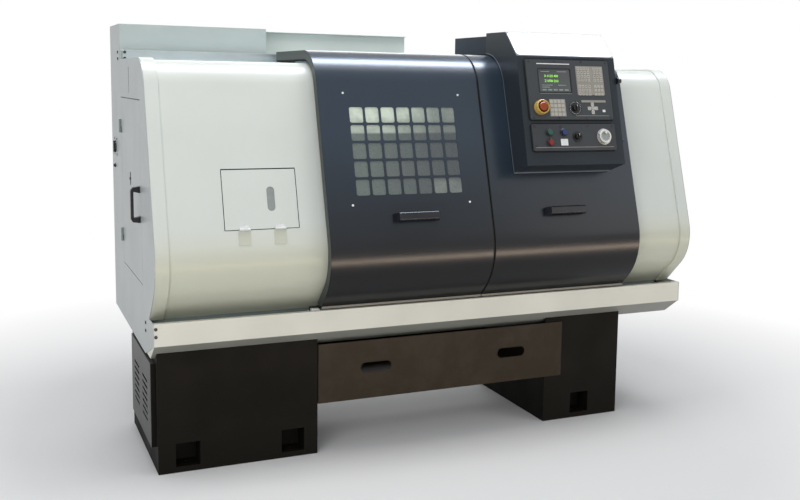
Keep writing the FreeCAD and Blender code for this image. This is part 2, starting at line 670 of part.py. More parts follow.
def bed():
    """Bed, open below: two cast walls with V ways, and the ribs, feet and screw brackets bolted to them."""
    floor = PAN_FLOOR_Z + PAN_SHEET
    half = BED_WALL / 2.0
    ridges = way_ridges(BED_LEFT_X, BED_RIGHT_X, 0.0)
    pieces = []
    for y, ridge in zip((BED_FRONT_WAY_Y, BED_REAR_WAY_Y), ridges):
        side = [(y - half, floor), (y + half, floor), (y + half, BED_TOP_Z), (y - half, BED_TOP_Z)]
        pieces.append(join([extrude_x(side, BED_LEFT_X, BED_RIGHT_X), ridge]))
    front_face = BED_FRONT_WAY_Y - half
    rear_face = BED_REAR_WAY_Y + half
    ribs = int((BED_RIGHT_X - BED_LEFT_X - BED_RIB) // BED_RIB_PITCH)
    for index in range(ribs + 1):
        x = BED_LEFT_X + index * (BED_RIGHT_X - BED_LEFT_X - BED_RIB) / ribs
        pieces.append(box(x, x + BED_RIB, BED_FRONT_WAY_Y + half, BED_REAR_WAY_Y - half,
                          floor + BED_RIB_ABOVE_FLOOR, BED_TOP_Z - BED_RIB_BELOW_TOP))
    feet = ((BED_LEFT_X, LEFT_PEDESTAL_X + LEFT_PEDESTAL_WIDTH - BED_FOOT_SETBACK),
            (RIGHT_PEDESTAL_X + BED_FOOT_SETBACK, RIGHT_PEDESTAL_X + RIGHT_PEDESTAL_WIDTH - BED_FOOT_SETBACK))
    for x0, x1 in feet:
        pieces.append(box(x0, x1, front_face - BED_FOOT_OVERHANG, front_face, floor, floor + BED_FOOT_HEIGHT))
        pieces.append(box(x0, x1, rear_face, rear_face + BED_FOOT_OVERHANG, floor, floor + BED_FOOT_HEIGHT))
    bearing = rod(SCREW_LEFT_X - 1, BED_RIGHT_X + 1, SCREW_Y, SCREW_Z, SCREW_R + FIT_GAP)
    for x0 in (SCREW_LEFT_X, BED_RIGHT_X - BRACKET_THICK):
        bracket = box(x0, x0 + BRACKET_THICK, SCREW_Y - BRACKET_SIZE / 2.0, front_face,
                      SCREW_Z - BRACKET_SIZE / 2.0, SCREW_Z + BRACKET_SIZE / 2.0)
        pieces.append(bracket.cut(bearing))
    return Part.makeCompound(pieces)


def headstock():
    """Cast headstock with a drafted upper part, a lid and the spindle bore."""
    front = BED_FRONT_WAY_Y - BED_WALL / 2.0 - 8
    rear = BED_REAR_WAY_Y + BED_WALL / 2.0 + 8
    side = [(front, BED_TOP_Z), (rear, BED_TOP_Z), (rear, SPINDLE_Z), (rear - HEADSTOCK_DRAFT, HEADSTOCK_TOP_Z),
            (front + HEADSTOCK_DRAFT, HEADSTOCK_TOP_Z), (front, SPINDLE_Z)]
    body = extrude_x(side, HEADSTOCK_LEFT_X, HEADSTOCK_RIGHT_X)
    lid = box(HEADSTOCK_LEFT_X + 20, HEADSTOCK_RIGHT_X - 20, front + HEADSTOCK_DRAFT + 10,
              rear - HEADSTOCK_DRAFT - 10, HEADSTOCK_TOP_Z, HEADSTOCK_TOP_Z + 14)
    ring = rod(HEADSTOCK_LEFT_X - 14, HEADSTOCK_LEFT_X, SPINDLE_Y, SPINDLE_Z, JOURNAL_R + 40)
    shape = join([body, lid, ring])
    bore = rod(HEADSTOCK_LEFT_X - 20, HEADSTOCK_RIGHT_X + 1, SPINDLE_Y, SPINDLE_Z, JOURNAL_R + FIT_GAP)
    shape = shape.cut(bore)
    for ridge in way_ridges(HEADSTOCK_LEFT_X - 1, HEADSTOCK_RIGHT_X + 1, 0.0):
        shape = shape.cut(ridge)
    return shape


def spindle():
    """Hollow spindle: chuck flange, bearing journal and pulley seat."""
    nose = HEADSTOCK_RIGHT_X + RUN_GAP
    tail = HEADSTOCK_LEFT_X - 14 - RUN_GAP
    profile = [(PULLEY_LEFT_X - 8, SPINDLE_BORE_R), (PULLEY_LEFT_X - 8, SPINDLE_TAIL_R), (tail, SPINDLE_TAIL_R),
               (tail, JOURNAL_R), (nose, JOURNAL_R), (nose, SPINDLE_FLANGE_R),
               (nose + SPINDLE_FLANGE_THICK, SPINDLE_FLANGE_R), (nose + SPINDLE_FLANGE_THICK, SPINDLE_BORE_R)]
    return turned(profile, SPINDLE_Y, SPINDLE_Z)


def grooved_pulley(radius, bore):
    """Belt pulley with V grooves round its rim, as (X, radius) points."""
    pitch = PULLEY_WIDTH / PULLEY_GROOVES
    profile = [(PULLEY_LEFT_X, bore), (PULLEY_LEFT_X, radius)]
    for groove in range(PULLEY_GROOVES):
        start = PULLEY_LEFT_X + groove * pitch
        profile += [(start + 0.2 * pitch, radius), (start + 0.4 * pitch, radius - GROOVE_DEPTH),
                    (start + 0.6 * pitch, radius - GROOVE_DEPTH), (start + 0.8 * pitch, radius)]
    profile += [(PULLEY_LEFT_X + PULLEY_WIDTH, radius), (PULLEY_LEFT_X + PULLEY_WIDTH, bore)]
    return profile


def spindle_pulley():
    """Large pulley on the spindle's tail."""
    return turned(grooved_pulley(SPINDLE_PULLEY_R, SPINDLE_TAIL_R), SPINDLE_Y, SPINDLE_Z)


def motor_left():
    """X of the motor's drive end."""
    return PULLEY_LEFT_X + PULLEY_WIDTH + MOTOR_GAP


def motor_pulley():
    """Small pulley with the motor shaft that carries it."""
    rim = turned(grooved_pulley(MOTOR_PULLEY_R, MOTOR_SHAFT_R), SPINDLE_Y, MOTOR_Z)
    shaft = rod(PULLEY_LEFT_X - 6, motor_left() + 60, SPINDLE_Y, MOTOR_Z, MOTOR_SHAFT_R)
    return join([rim, shaft])


def spindle_motor():
    """Finned induction motor on feet, standing on the pedestal's shelf."""
    x0 = motor_left()
    x1 = x0 + MOTOR_LENGTH
    pieces = [rod(x0, x1, SPINDLE_Y, MOTOR_Z, MOTOR_R)]
    for index in range(MOTOR_FINS):
        fin = box(x0 + 40, x1 - 60, SPINDLE_Y - 2, SPINDLE_Y + 2, MOTOR_Z + MOTOR_R - 5, MOTOR_Z + MOTOR_R + MOTOR_FIN)
        fin.rotate(V(x0, SPINDLE_Y, MOTOR_Z), V(1, 0, 0), -110 + index * 220.0 / (MOTOR_FINS - 1))
        pieces.append(fin)
    for y in (-1, 1):
        foot_y = SPINDLE_Y + y * 80
        pieces.append(box(x0 + 60, x1 - 80, foot_y - 30, foot_y + 30, MOTOR_SHELF_Z, MOTOR_Z - 40))
    shape = join(pieces)
    return shape.cut(rod(x0 - 1, x0 + 61, SPINDLE_Y, MOTOR_Z, MOTOR_SHAFT_R + FIT_GAP))


def belt_loop(gap, x0, x1):
    """Prism over the loop that runs a gap outside both pulleys."""
    upper = SPINDLE_PULLEY_R + gap
    lower = MOTOR_PULLEY_R + gap
    lean = math.asin((upper - lower) / (SPINDLE_Z - MOTOR_Z))
    sine = math.sin(lean)
    cosine = math.cos(lean)
    top = []
    low = []
    for side in (1, -1):
        top.append(V(x0, SPINDLE_Y + side * upper * cosine, SPINDLE_Z - upper * sine))
        low.append(V(x0, SPINDLE_Y + side * lower * cosine, MOTOR_Z - lower * sine))
    edges = [Part.Arc(top[0], V(x0, SPINDLE_Y, SPINDLE_Z + upper), top[1]).toShape(), Part.makeLine(top[1], low[1]),
             Part.Arc(low[1], V(x0, SPINDLE_Y, MOTOR_Z - lower), low[0]).toShape(), Part.makeLine(low[0], top[0])]
    return Part.Face(Part.Wire(edges)).extrude(V(x1 - x0, 0, 0))


def drive_belt():
    """Poly-V belt round both pulleys."""
    x0 = PULLEY_LEFT_X + 3
    x1 = PULLEY_LEFT_X + PULLEY_WIDTH - 3
    return belt_loop(RUN_GAP + BELT_THICK, x0, x1).cut(belt_loop(RUN_GAP, x0 - 1, x1 + 1))


def chuck_left():
    """X of the chuck's back face."""
    return HEADSTOCK_RIGHT_X + RUN_GAP + SPINDLE_FLANGE_THICK


def jaw_angle(index):
    """Angle of a jaw about the spindle axis."""
    return 90.0 + index * 360.0 / JAW_COUNT


def chuck_body():
    """Three-jaw chuck body with a step, a through hole and one radial slot for each jaw."""
    x0 = chuck_left()
    x1 = x0 + CHUCK_THICK
    profile = [(x0, SPINDLE_BORE_R), (x0, CHUCK_R - 4), (x0 + 4, CHUCK_R), (x1 - 8, CHUCK_R), (x1, CHUCK_R - 8),
               (x1, SPINDLE_BORE_R)]
    shape = turned(profile, SPINDLE_Y, SPINDLE_Z)
    half = JAW_WIDTH / 2.0 + RUN_GAP
    for index in range(JAW_COUNT):
        slot = box(x1 - JAW_SLOT_DEPTH - RUN_GAP, x1 + 1, SPINDLE_Y - half, SPINDLE_Y + half, SPINDLE_Z, SPINDLE_Z + CHUCK_R + 5)
        slot.rotate(V(x0, SPINDLE_Y, SPINDLE_Z), V(1, 0, 0), jaw_angle(index) - 90)
        shape = shape.cut(slot)
    return shape


def chuck_jaw(index):
    """Stepped jaw in its slot."""
    x1 = chuck_left() + CHUCK_THICK
    z0 = SPINDLE_Z + JAW_REST_R
    step = JAW_LENGTH / 3.0
    side = [(x1 - JAW_SLOT_DEPTH, z0), (x1 + JAW_PROUD, z0), (x1 + JAW_PROUD, z0 + step),
            (x1 + JAW_PROUD * 0.66, z0 + step), (x1 + JAW_PROUD * 0.66, z0 + 2 * step),
            (x1 + JAW_PROUD * 0.33, z0 + 2 * step), (x1 + JAW_PROUD * 0.33, z0 + JAW_LENGTH),
            (x1 - JAW_SLOT_DEPTH, z0 + JAW_LENGTH)]
    y0 = SPINDLE_Y - JAW_WIDTH / 2.0
    ring = [V(x, y0, z) for x, z in side]
    ring.append(ring[0])
    jaw = Part.Face(Part.makePolygon(ring)).extrude(V(0, JAW_WIDTH, 0))
    jaw.rotate(V(x1, SPINDLE_Y, SPINDLE_Z), V(1, 0, 0), jaw_angle(index) - 90)
    return jaw


# ================================================================ carriage, turret and tailstock
def feed_screw():
    """Ball screw for the carriage, with its coupling end in the motor."""
    body = rod(SCREW_LEFT_X + 5, BED_RIGHT_X + 30, SCREW_Y, SCREW_Z, SCREW_R)
    return body


def feed_motor():
    """Servo motor on the right bracket: flange, body and rear cap."""
    x0 = BED_RIGHT_X
    half = SERVO_SIZE / 2.0
    flange = box(x0, x0 + 16, SCREW_Y - half - 8, SCREW_Y + half + 8, SCREW_Z - half - 8, SCREW_Z + half + 8)
    body = box(x0 + 16, x0 + SERVO_LENGTH, SCREW_Y - half, SCREW_Y + half, SCREW_Z - half, SCREW_Z + half)
    body = body.makeChamfer(12, [edge for edge in body.Edges if abs(edge.tangentAt(edge.FirstParameter).x) > 0.9])
    cap = rod(x0 + SERVO_LENGTH, x0 + SERVO_LENGTH + 18, SCREW_Y, SCREW_Z, half * 0.8)
    return join([flange, body, cap]).cut(rod(x0 - 1, x0 + 32, SCREW_Y, SCREW_Z, SCREW_R + FIT_GAP))


def dovetail(x, width_top, width_base, y0, y1, z0):
    """Dovetail guide along Y, wider at the top."""
    points = [V(x - width_base / 2.0, y0, z0), V(x + width_base / 2.0, y0, z0),
              V(x + width_top / 2.0, y0, z0 + DOVETAIL_HEIGHT), V(x - width_top / 2.0, y0, z0 + DOVETAIL_HEIGHT)]
    points.append(points[0])
    return Part.Face(Part.makePolygon(points)).extrude(V(0, y1 - y0, 0))


def saddle_top():
    """Z of the saddle's flat top."""
    return BED_TOP_Z + RUN_GAP + SADDLE_THICK


def saddle():
    """H-shaped saddle with an apron that holds the ball nut, and the cross slide's dovetail."""
    x0 = SADDLE_X - SADDLE_LENGTH / 2.0
    x1 = SADDLE_X + SADDLE_LENGTH / 2.0
    z0 = BED_TOP_Z + RUN_GAP
    z1 = saddle_top()
    slab = box(x0, x1, SADDLE_FRONT_Y, SADDLE_REAR_Y, z0, z1)
    waist = 70.0
    for side in (x0 - 1, x1 - waist):
        slab = slab.cut(box(side, side + waist + 1, BED_FRONT_WAY_Y + 60, BED_REAR_WAY_Y - 60, z0 - 1, z1 + 1))
    apron_rear = BED_FRONT_WAY_Y - BED_WALL / 2.0 - 2
    apron = box(x0 + 40, x1 - 40, SADDLE_FRONT_Y, min(SADDLE_FRONT_Y + APRON_DEPTH, apron_rear), APRON_BOTTOM_Z, z0 + 1)
    shape = join([slab, apron])
    shape = join([shape, dovetail(SADDLE_X, DOVETAIL_TOP, DOVETAIL_BASE, SADDLE_FRONT_Y + 10, SADDLE_REAR_Y - 10, z1)])
    for ridge in way_ridges(x0 - 1, x1 + 1, RUN_GAP):
        shape = shape.cut(ridge)
    return shape.cut(rod(x0 - 1, x1 + 1, SCREW_Y, SCREW_Z, SCREW_R + RUN_GAP))


def cross_motor():
    """Servo motor behind the saddle that drives the cross slide."""
    half = SERVO_SIZE * 0.4
    z = BED_TOP_Z + RUN_GAP + SADDLE_THICK / 2.0
    body = box(SADDLE_X - half, SADDLE_X + half, SADDLE_REAR_Y, SADDLE_REAR_Y + SERVO_LENGTH * 0.7, z - half, z + half)
    body = body.makeChamfer(9, [edge for edge in body.Edges if abs(edge.tangentAt(edge.FirstParameter).y) > 0.9])
    return body


def cross_slide():
    """Cross slide that rides over the dovetail, with two T slots on top."""
    z0 = saddle_top() + RUN_GAP
    y1 = CROSS_SLIDE_FRONT_Y + CROSS_SLIDE_LENGTH
    half = CROSS_SLIDE_WIDTH / 2.0
    block = box(SADDLE_X - half, SADDLE_X + half, CROSS_SLIDE_FRONT_Y, y1, z0, z0 + CROSS_SLIDE_THICK)
    guide = dovetail(SADDLE_X, DOVETAIL_TOP + 2 * RUN_GAP, DOVETAIL_BASE + 2 * RUN_GAP, CROSS_SLIDE_FRONT_Y - 1,
                     y1 + 1, saddle_top() + RUN_GAP)
    below = dovetail(SADDLE_X, DOVETAIL_TOP + 2 * RUN_GAP, DOVETAIL_BASE + 2 * RUN_GAP, CROSS_SLIDE_FRONT_Y - 1,
                     y1 + 1, saddle_top())
    shape = block.cut(guide).cut(below)
    for x in (-60, 60):
        slot = box(SADDLE_X + x - 7, SADDLE_X + x + 7, CROSS_SLIDE_FRONT_Y - 1, y1 + 1,
                   z0 + CROSS_SLIDE_THICK - 12, z0 + CROSS_SLIDE_THICK + 1)
        shape = shape.cut(slot)
    return shape


def turret_floor():
    """Z of the cross slide's top, where the tool turret stands."""
    return saddle_top() + RUN_GAP + CROSS_SLIDE_THICK


def turret_base():
    """Fixed base of the electric tool turret, with its motor housing at the front."""
    half = TURRET_SIZE / 2.0
    z0 = turret_floor()
    block = box(SADDLE_X - half, SADDLE_X + half, TURRET_Y - half, TURRET_Y + half, z0, z0 + TURRET_BASE_HEIGHT)
    upright = [edge for edge in block.Edges if abs(edge.tangentAt(edge.FirstParameter).z) > 0.9]
    return block.makeChamfer(18, upright)


def tool_turret():
    """Four-station square turret head with a tool slot along each side."""
    half = TURRET_SIZE / 2.0
    z0 = turret_floor() + TURRET_BASE_HEIGHT + RUN_GAP
    z1 = z0 + TURRET_HEIGHT
    block = box(SADDLE_X - half, SADDLE_X + half, TURRET_Y - half, TURRET_Y + half, z0, z1)
    cap = post(SADDLE_X, TURRET_Y, z1, z1 + 16, half * 0.45)
    shape = join([block, cap])
    for turn in range(4):
        slot = box(SADDLE_X - half - 1, SADDLE_X + half + 1, TURRET_Y + half - TOOL_SHANK - 2, TURRET_Y + half + 1,
                   tool_bottom() - FIT_GAP, tool_bottom() + TOOL_SHANK + 3)
        slot.rotate(V(SADDLE_X, TURRET_Y, 0), V(0, 0, 1), 90 * turn)
        shape = shape.cut(slot)
    return shape


def tool_bottom():
    """Z of the tools' underside: their tips stand at the spindle's height."""
    return SPINDLE_Z - TOOL_SHANK


def turning_tools():
    """Four turning tools, each a shank with a rhombic cutting head."""
    half = TURRET_SIZE / 2.0
    z0 = tool_bottom()
    x1 = SADDLE_X - half
    tools = []
    for turn in range(4):
        y0 = TURRET_Y + half - TOOL_SHANK - 1
        shank = box(x1 - TOOL_OVERHANG, x1 + TOOL_LENGTH - TOOL_OVERHANG, y0, y0 + TOOL_SHANK, z0, z0 + TOOL_SHANK)
        tip = [V(x1 - TOOL_OVERHANG, y0, z0 + 8), V(x1 - TOOL_OVERHANG - 16, y0 + TOOL_SHANK + 7, z0 + 8),
               V(x1 - TOOL_OVERHANG, y0 + TOOL_SHANK, z0 + 8)]
        tip.append(tip[0])
        head = Part.Face(Part.makePolygon(tip)).extrude(V(0, 0, TOOL_SHANK - 8))
        tool = join([shank, head])
        tool.rotate(V(SADDLE_X, TURRET_Y, 0), V(0, 0, 1), 90 * turn)
        tools.append(tool)
    return Part.makeCompound(tools)


def tailstock():
    """Tailstock casting: foot over the ways, leaning neck and quill barrel."""
    x0 = TAILSTOCK_LEFT_X
    x1 = x0 + TAILSTOCK_LENGTH
    z0 = BED_TOP_Z + RUN_GAP
    front = BED_FRONT_WAY_Y - BED_WALL / 2.0 - 4
    rear = BED_REAR_WAY_Y + BED_WALL / 2.0 + 4
    foot = box(x0, x1, front, rear, z0, z0 + 60)
    neck = extrude_x([(front + 40, z0 + 60), (rear - 40, z0 + 60), (SPINDLE_Y + BARREL_R, SPINDLE_Z),
                      (SPINDLE_Y - BARREL_R, SPINDLE_Z)], x0 + 20, x1 - 20)
    barrel = rod(x0, x1, SPINDLE_Y, SPINDLE_Z, BARREL_R)
    shape = join([foot, neck, barrel])
    for ridge in way_ridges(x0 - 1, x1 + 1, RUN_GAP):
        shape = shape.cut(ridge)
    shape = shape.cut(rod(x0 - 1, x1 - TAILSTOCK_CAP, SPINDLE_Y, SPINDLE_Z, QUILL_R + FIT_GAP))
    return shape.cut(rod(x1 - TAILSTOCK_CAP - 1, x1 + 1, SPINDLE_Y, SPINDLE_Z, QUILL_SCREW_R + FIT_GAP))


def quill():
    """Sliding quill with its taper socket."""
    x0 = TAILSTOCK_LEFT_X - QUILL_PROUD
    x1 = TAILSTOCK_LEFT_X + TAILSTOCK_LENGTH - 20
    return rod(x0, x1, SPINDLE_Y, SPINDLE_Z, QUILL_R).cut(rod(x0 - 1, x0 + 70, SPINDLE_Y, SPINDLE_Z, CENTRE_R))


def centre_point():
    """Live centre seated in the quill, with a 60 degree point."""
    x0 = TAILSTOCK_LEFT_X - QUILL_PROUD
    head = CENTRE_R + 9
    tip = head / math.tan(math.radians(30))
    profile = [(x0 + 68, 0), (x0 + 68, CENTRE_R), (x0, CENTRE_R), (x0, head), (x0 - 22, head), (x0 - 22 - tip, 0)]
    return turned(profile, SPINDLE_Y, SPINDLE_Z)


def tailstock_handwheel():
    """Rimmed handwheel with three spokes and a crank handle, on its shaft in the barrel."""
    x1 = TAILSTOCK_LEFT_X + TAILSTOCK_LENGTH
    x0 = x1 + WHEEL_OFFSET
    shaft = rod(x1 + RUN_GAP, x0 + WHEEL_THICK, SPINDLE_Y, SPINDLE_Z, 2 * QUILL_SCREW_R)
    screw = rod(x1 - TAILSTOCK_CAP + 2, x1 + 1, SPINDLE_Y, SPINDLE_Z, QUILL_SCREW_R)
    bevel = WHEEL_THICK / 4.0
    rim = turned([(x0, WHEEL_R - WHEEL_RIM + bevel), (x0, WHEEL_R - bevel), (x0 + bevel, WHEEL_R),
                  (x0 + WHEEL_THICK - bevel, WHEEL_R), (x0 + WHEEL_THICK, WHEEL_R - bevel),
                  (x0 + WHEEL_THICK, WHEEL_R - WHEEL_RIM + bevel)], SPINDLE_Y, SPINDLE_Z)
    pieces = [shaft, screw, rim]
    middle = x0 + WHEEL_THICK / 2.0
    rim_middle = SPINDLE_Z + WHEEL_R - WHEEL_RIM / 2.0
    for index in range(WHEEL_SPOKES):
        spoke = box(middle - SPOKE_THICK / 2.0, middle + SPOKE_THICK / 2.0, SPINDLE_Y - SPOKE_WIDTH / 2.0,
                    SPINDLE_Y + SPOKE_WIDTH / 2.0, SPINDLE_Z + QUILL_SCREW_R, rim_middle)
        spoke.rotate(V(x0, SPINDLE_Y, SPINDLE_Z), V(1, 0, 0), index * 360.0 / WHEEL_SPOKES)
        pieces.append(spoke)
    pieces.append(rod(middle, x0 + WHEEL_THICK + CRANK_LENGTH, SPINDLE_Y, rim_middle, CRANK_R))
    return join(pieces)


# ================================================================ end plates and covers
def plate_outline():
    """Edges of an end plate's outline in the plane X = 0."""
    edges = outline_edges(EDGE_BAND_PROUD, CABINET_FRONT_Y, PAN_FRONT_TOP, 0.0)
    start = edges[0].Vertexes[0].Point
    foot = edges[-1].Vertexes[-1].Point
    return edges, start, foot


def end_plate(x0, with_cabinet):
    """Flat end plate that follows the cover outline; on the left it also closes the cabinet."""
    edges, start, foot = plate_outline()
    points = [foot, V(0, 0, PAN_FRONT_TOP), V(0, 0, PAN_FRONT_TOP - PAN_STRIP_HEIGHT), V(0, PLATE_TIP_Y, PLATE_TIP_Z)]
    if with_cabinet:
        points += [V(0, CABINET_REAR_Y, CABINET_BOTTOM_Z), V(0, CABINET_REAR_Y, CABINET_TOP_Z),
                   V(0, CABINET_FRONT_Y, CABINET_TOP_Z), start]
    else:
        points += [V(0, PAN_DEPTH, PLATE_TIP_Z), V(0, PAN_DEPTH, PAN_FRONT_TOP),
                   V(0, REAR_GUARD_Y, REAR_GUARD_SLOPE_Z), V(0, REAR_GUARD_Y, COVER_TOP_Z),
                   V(0, CABINET_FRONT_Y, COVER_TOP_Z), start]
    lines = []
    for first, second in zip(points[:-1], points[1:]):
        if first.distanceToPoint(second) > 1e-6:
            lines.append(Part.makeLine(first, second))
    wire = Part.Wire(Part.__sortEdges__(edges + lines))
    plate = Part.Face(wire).extrude(V(PLATE, 0, 0))
    plate.translate(V(x0, 0, 0))
    return plate


def side_opening(grow, x0, x1):
    """Block over the side door's place, grown all round."""
    return box(x0, x1, SIDE_DOOR_FRONT_Y - grow, SIDE_DOOR_REAR_Y + grow, SIDE_DOOR_BOTTOM_Z - grow,
               SIDE_DOOR_TOP_Z + grow)


def side_hinge_y():
    """Y of the side door's hinge line."""
    return SIDE_DOOR_REAR_Y + SIDE_DOOR_GAP


def knuckle(z0, z1):
    """Round knuckle of the side door's hinge."""
    return post(-KNUCKLE_R, side_hinge_y(), z0, z1, KNUCKLE_R)


def left_end_plate():
    """Left end plate: side door opening, grip slot, lower hinge halves and the main switch's seat."""
    plate = end_plate(0.0, True).cut(side_opening(SIDE_DOOR_GAP, -1, PLATE + 1))
    slot = rounded_rect(PLATE_SLOT_HEIGHT, PLATE_SLOT_WIDTH, PLATE_SLOT_WIDTH / 2.0 - 0.5, 3 * PLATE)
    turn = FreeCAD.Placement(V(-PLATE, PLATE_SLOT_Y, PLATE_SLOT_Z), FreeCAD.Rotation(V(0, 1, 0), 90))
    plate = plate.cut(placed(slot, turn))
    pieces = [plate]
    for z in SIDE_HINGE_Z:
        pieces.append(knuckle(z - KNUCKLE_LENGTH, z))
        pieces.append(box(-1.5, 0, side_hinge_y(), side_hinge_y() + 24, z - KNUCKLE_LENGTH, z))
    depth = SIDE_DOOR_FOLD + 4
    frame = side_opening(16, PLATE, PLATE + depth).cut(side_opening(SIDE_DOOR_GAP, 0, PLATE + depth + 1))
    stop = side_opening(SIDE_DOOR_GAP, PLATE + depth - PLATE, PLATE + depth)
    stop = stop.cut(side_opening(-20, 0, PLATE + depth + 1))
    half = SWITCH_PLATE / 2.0
    switch_seat = box(-SWITCH_SEAT, 0, SWITCH_Y - half, SWITCH_Y + half, SWITCH_Z - half, SWITCH_Z + half)
    return join(pieces + [frame, stop, switch_seat])


def right_end_plate():
    """Right end plate, the mirror of the left one without its cabinet part."""
    return end_plate(PAN_LENGTH - PLATE, False)


def side_door():
    """Folded access door in the left end plate, with the upper hinge halves."""
    skin = side_opening(0, 0, SHEET)
    rim = side_opening(0, 0, SIDE_DOOR_FOLD).cut(side_opening(-SHEET, -1, SIDE_DOOR_FOLD + 1))
    pieces = [skin, rim]
    for z in SIDE_HINGE_Z:
        z0 = z + RUN_GAP
        pieces.append(knuckle(z0, z0 + KNUCKLE_LENGTH))
        pieces.append(box(-1.5, 0, side_hinge_y() - 24, side_hinge_y(), z0, z0 + KNUCKLE_LENGTH))
    return join(pieces)


def side_door_handle():
    """Black bow handle on the side door."""
    half = SIDE_HANDLE_LENGTH / 2.0
    out = SIDE_HANDLE_STANDOFF
    points = [V(0, SIDE_HANDLE_Y, SIDE_HANDLE_Z - half), V(0, SIDE_HANDLE_Y, SIDE_HANDLE_Z - half + 28),
              V(-out + 12, SIDE_HANDLE_Y, SIDE_HANDLE_Z - half + 22), V(-out + 12, SIDE_HANDLE_Y, SIDE_HANDLE_Z + half - 22),
              V(0, SIDE_HANDLE_Y, SIDE_HANDLE_Z + half - 28), V(0, SIDE_HANDLE_Y, SIDE_HANDLE_Z + half),
              V(-out + 8, SIDE_HANDLE_Y, SIDE_HANDLE_Z + half - 4), V(-out, SIDE_HANDLE_Y, SIDE_HANDLE_Z + half - 16),
              V(-out, SIDE_HANDLE_Y, SIDE_HANDLE_Z - half + 16), V(-out + 8, SIDE_HANDLE_Y, SIDE_HANDLE_Z - half + 4)]
    points.append(points[0])
    bow = Part.Face(Part.makePolygon(points)).extrude(V(0, 22, 0))
    return bow


def fixed_cover(x0, x1, flange_x):
    """Curved sheet cover with a foot hem on the sill and a folded inner edge."""
    skin = curved_sheet(0.0, -SHEET, RAIL_Y, COVER_FOOT_Z, x0, x1)
    hem = box(x0, x1, SILL_Y - SHEET, SILL_Y, COVER_FOOT_Z, COVER_FOOT_Z + COVER_HEM)
    fold = curved_sheet(0.0, -30.0, RAIL_Y - 60, COVER_FOOT_Z + 60, flange_x, flange_x + SHEET)
    return [skin, hem, fold]


def edge_band(x0, x1):
    """Slightly proud band that finishes the cover at a machine end."""
    return curved_sheet(EDGE_BAND_PROUD, 0.0, RAIL_Y - RAIL_LIP - RUN_GAP, COVER_FOOT_Z, x0, x1)


def flap_frame_box(grow, z0, depth):
    """Block in the flap's local frame."""
    width = FLAP_WIDTH + 2 * grow
    height = FLAP_HEIGHT + 2 * grow
    return Part.makeBox(width, height, depth, V(-width / 2.0, -height / 2.0, z0))


def left_cover():
    """White cover over the headstock, with the flap's opening and its hinge barrels."""
    right = LEFT_DOOR_X + COVER_UNDER_DOOR
    shape = join(fixed_cover(PLATE, right, right - SHEET) + [edge_band(PLATE, EDGE_BAND)])
    spot = on_front(FLAP_X, FLAP_Z, 0.0)
    shape = shape.cut(placed(flap_frame_box(-14, -40, 80), spot))
    recess = placed(flap_frame_box(FLAP_GAP, -SHEET - 1, 20), spot)
    seat = placed(flap_frame_box(12, -2 * SHEET - FLAP_SHEET, SHEET), spot)
    seat = seat.cut(placed(flap_frame_box(-14, -40, 80), spot))
    rim = placed(flap_frame_box(12, -2 * SHEET - FLAP_SHEET, SHEET + FLAP_SHEET), spot)
    rim = rim.cut(placed(flap_frame_box(FLAP_GAP, -40, 80), spot))
    pieces = [shape.cut(recess), seat, rim]
    for side in (-1, 1):
        pieces.append(placed(flap_knuckle(side * FLAP_HINGE_OFFSET - FLAP_HINGE_WIDTH / 2.0, FLAP_HINGE_WIDTH / 2.0
                                          - RUN_GAP, False), spot))
    return join(pieces)


def flap_knuckle(x0, length, moving):
    """Hinge barrel below the flap with the leaf that carries it."""
    y = -FLAP_HEIGHT / 2.0 - FLAP_GAP / 2.0
    barrel = Part.makeCylinder(FLAP_KNUCKLE_R, length, V(x0, y, FLAP_KNUCKLE_R), V(1, 0, 0))
    if moving:
        leaf = Part.makeBox(length, 26, 1.5, V(x0, y, 0))
    else:
        leaf = Part.makeBox(length, 22, 1.5, V(x0, y - 22, 0))
    return join([barrel, leaf])


def cover_flap():
    """Access flap in the left cover, hinged at its lower edge, with an obround sight slot."""
    skin = flap_frame_box(0, -FLAP_SHEET, FLAP_SHEET)
    slot = rounded_rect(FLAP_SLOT_WIDTH, FLAP_SLOT_HEIGHT, FLAP_SLOT_WIDTH / 2.0 - 0.5, 20, -10)
    slot.translate(V(FLAP_SLOT_OFFSET, 0, 0))
    pieces = [skin.cut(slot)]
    for side in (-1, 1):
        pieces.append(flap_knuckle(side * FLAP_HINGE_OFFSET, FLAP_HINGE_WIDTH / 2.0, True))
    return placed(join(pieces), on_front(FLAP_X, FLAP_Z, 0.0))


def right_cover():
    """White cover at the tailstock end."""
    left = RIGHT_DOOR_X - COVER_UNDER_DOOR
    right = PAN_LENGTH - PLATE
    return join(fixed_cover(left, right, left) + [edge_band(PAN_LENGTH - EDGE_BAND, right)])


def top_rail():
    """Folded rail behind the roof: lip for the door guides, web and top flange."""
    z0 = COVER_TOP_Z
    z1 = z0 + RAIL_HEIGHT
    x0 = PLATE
    x1 = PAN_LENGTH - PLATE
    lip = box(x0, x1, RAIL_Y - RAIL_LIP, RAIL_Y, z0, z0 + PLATE)
    web = box(x0, x1, RAIL_Y, RAIL_Y + PLATE, z0 - 40, z1)
    flange = box(x0, x1, RAIL_Y, RAIL_Y + RAIL_DEPTH, z1 - PLATE, z1)
    rear = box(x0, x1, RAIL_Y + RAIL_DEPTH - PLATE, RAIL_Y + RAIL_DEPTH, z0 - 40, z1)
    return join([lip, web, flange, rear])


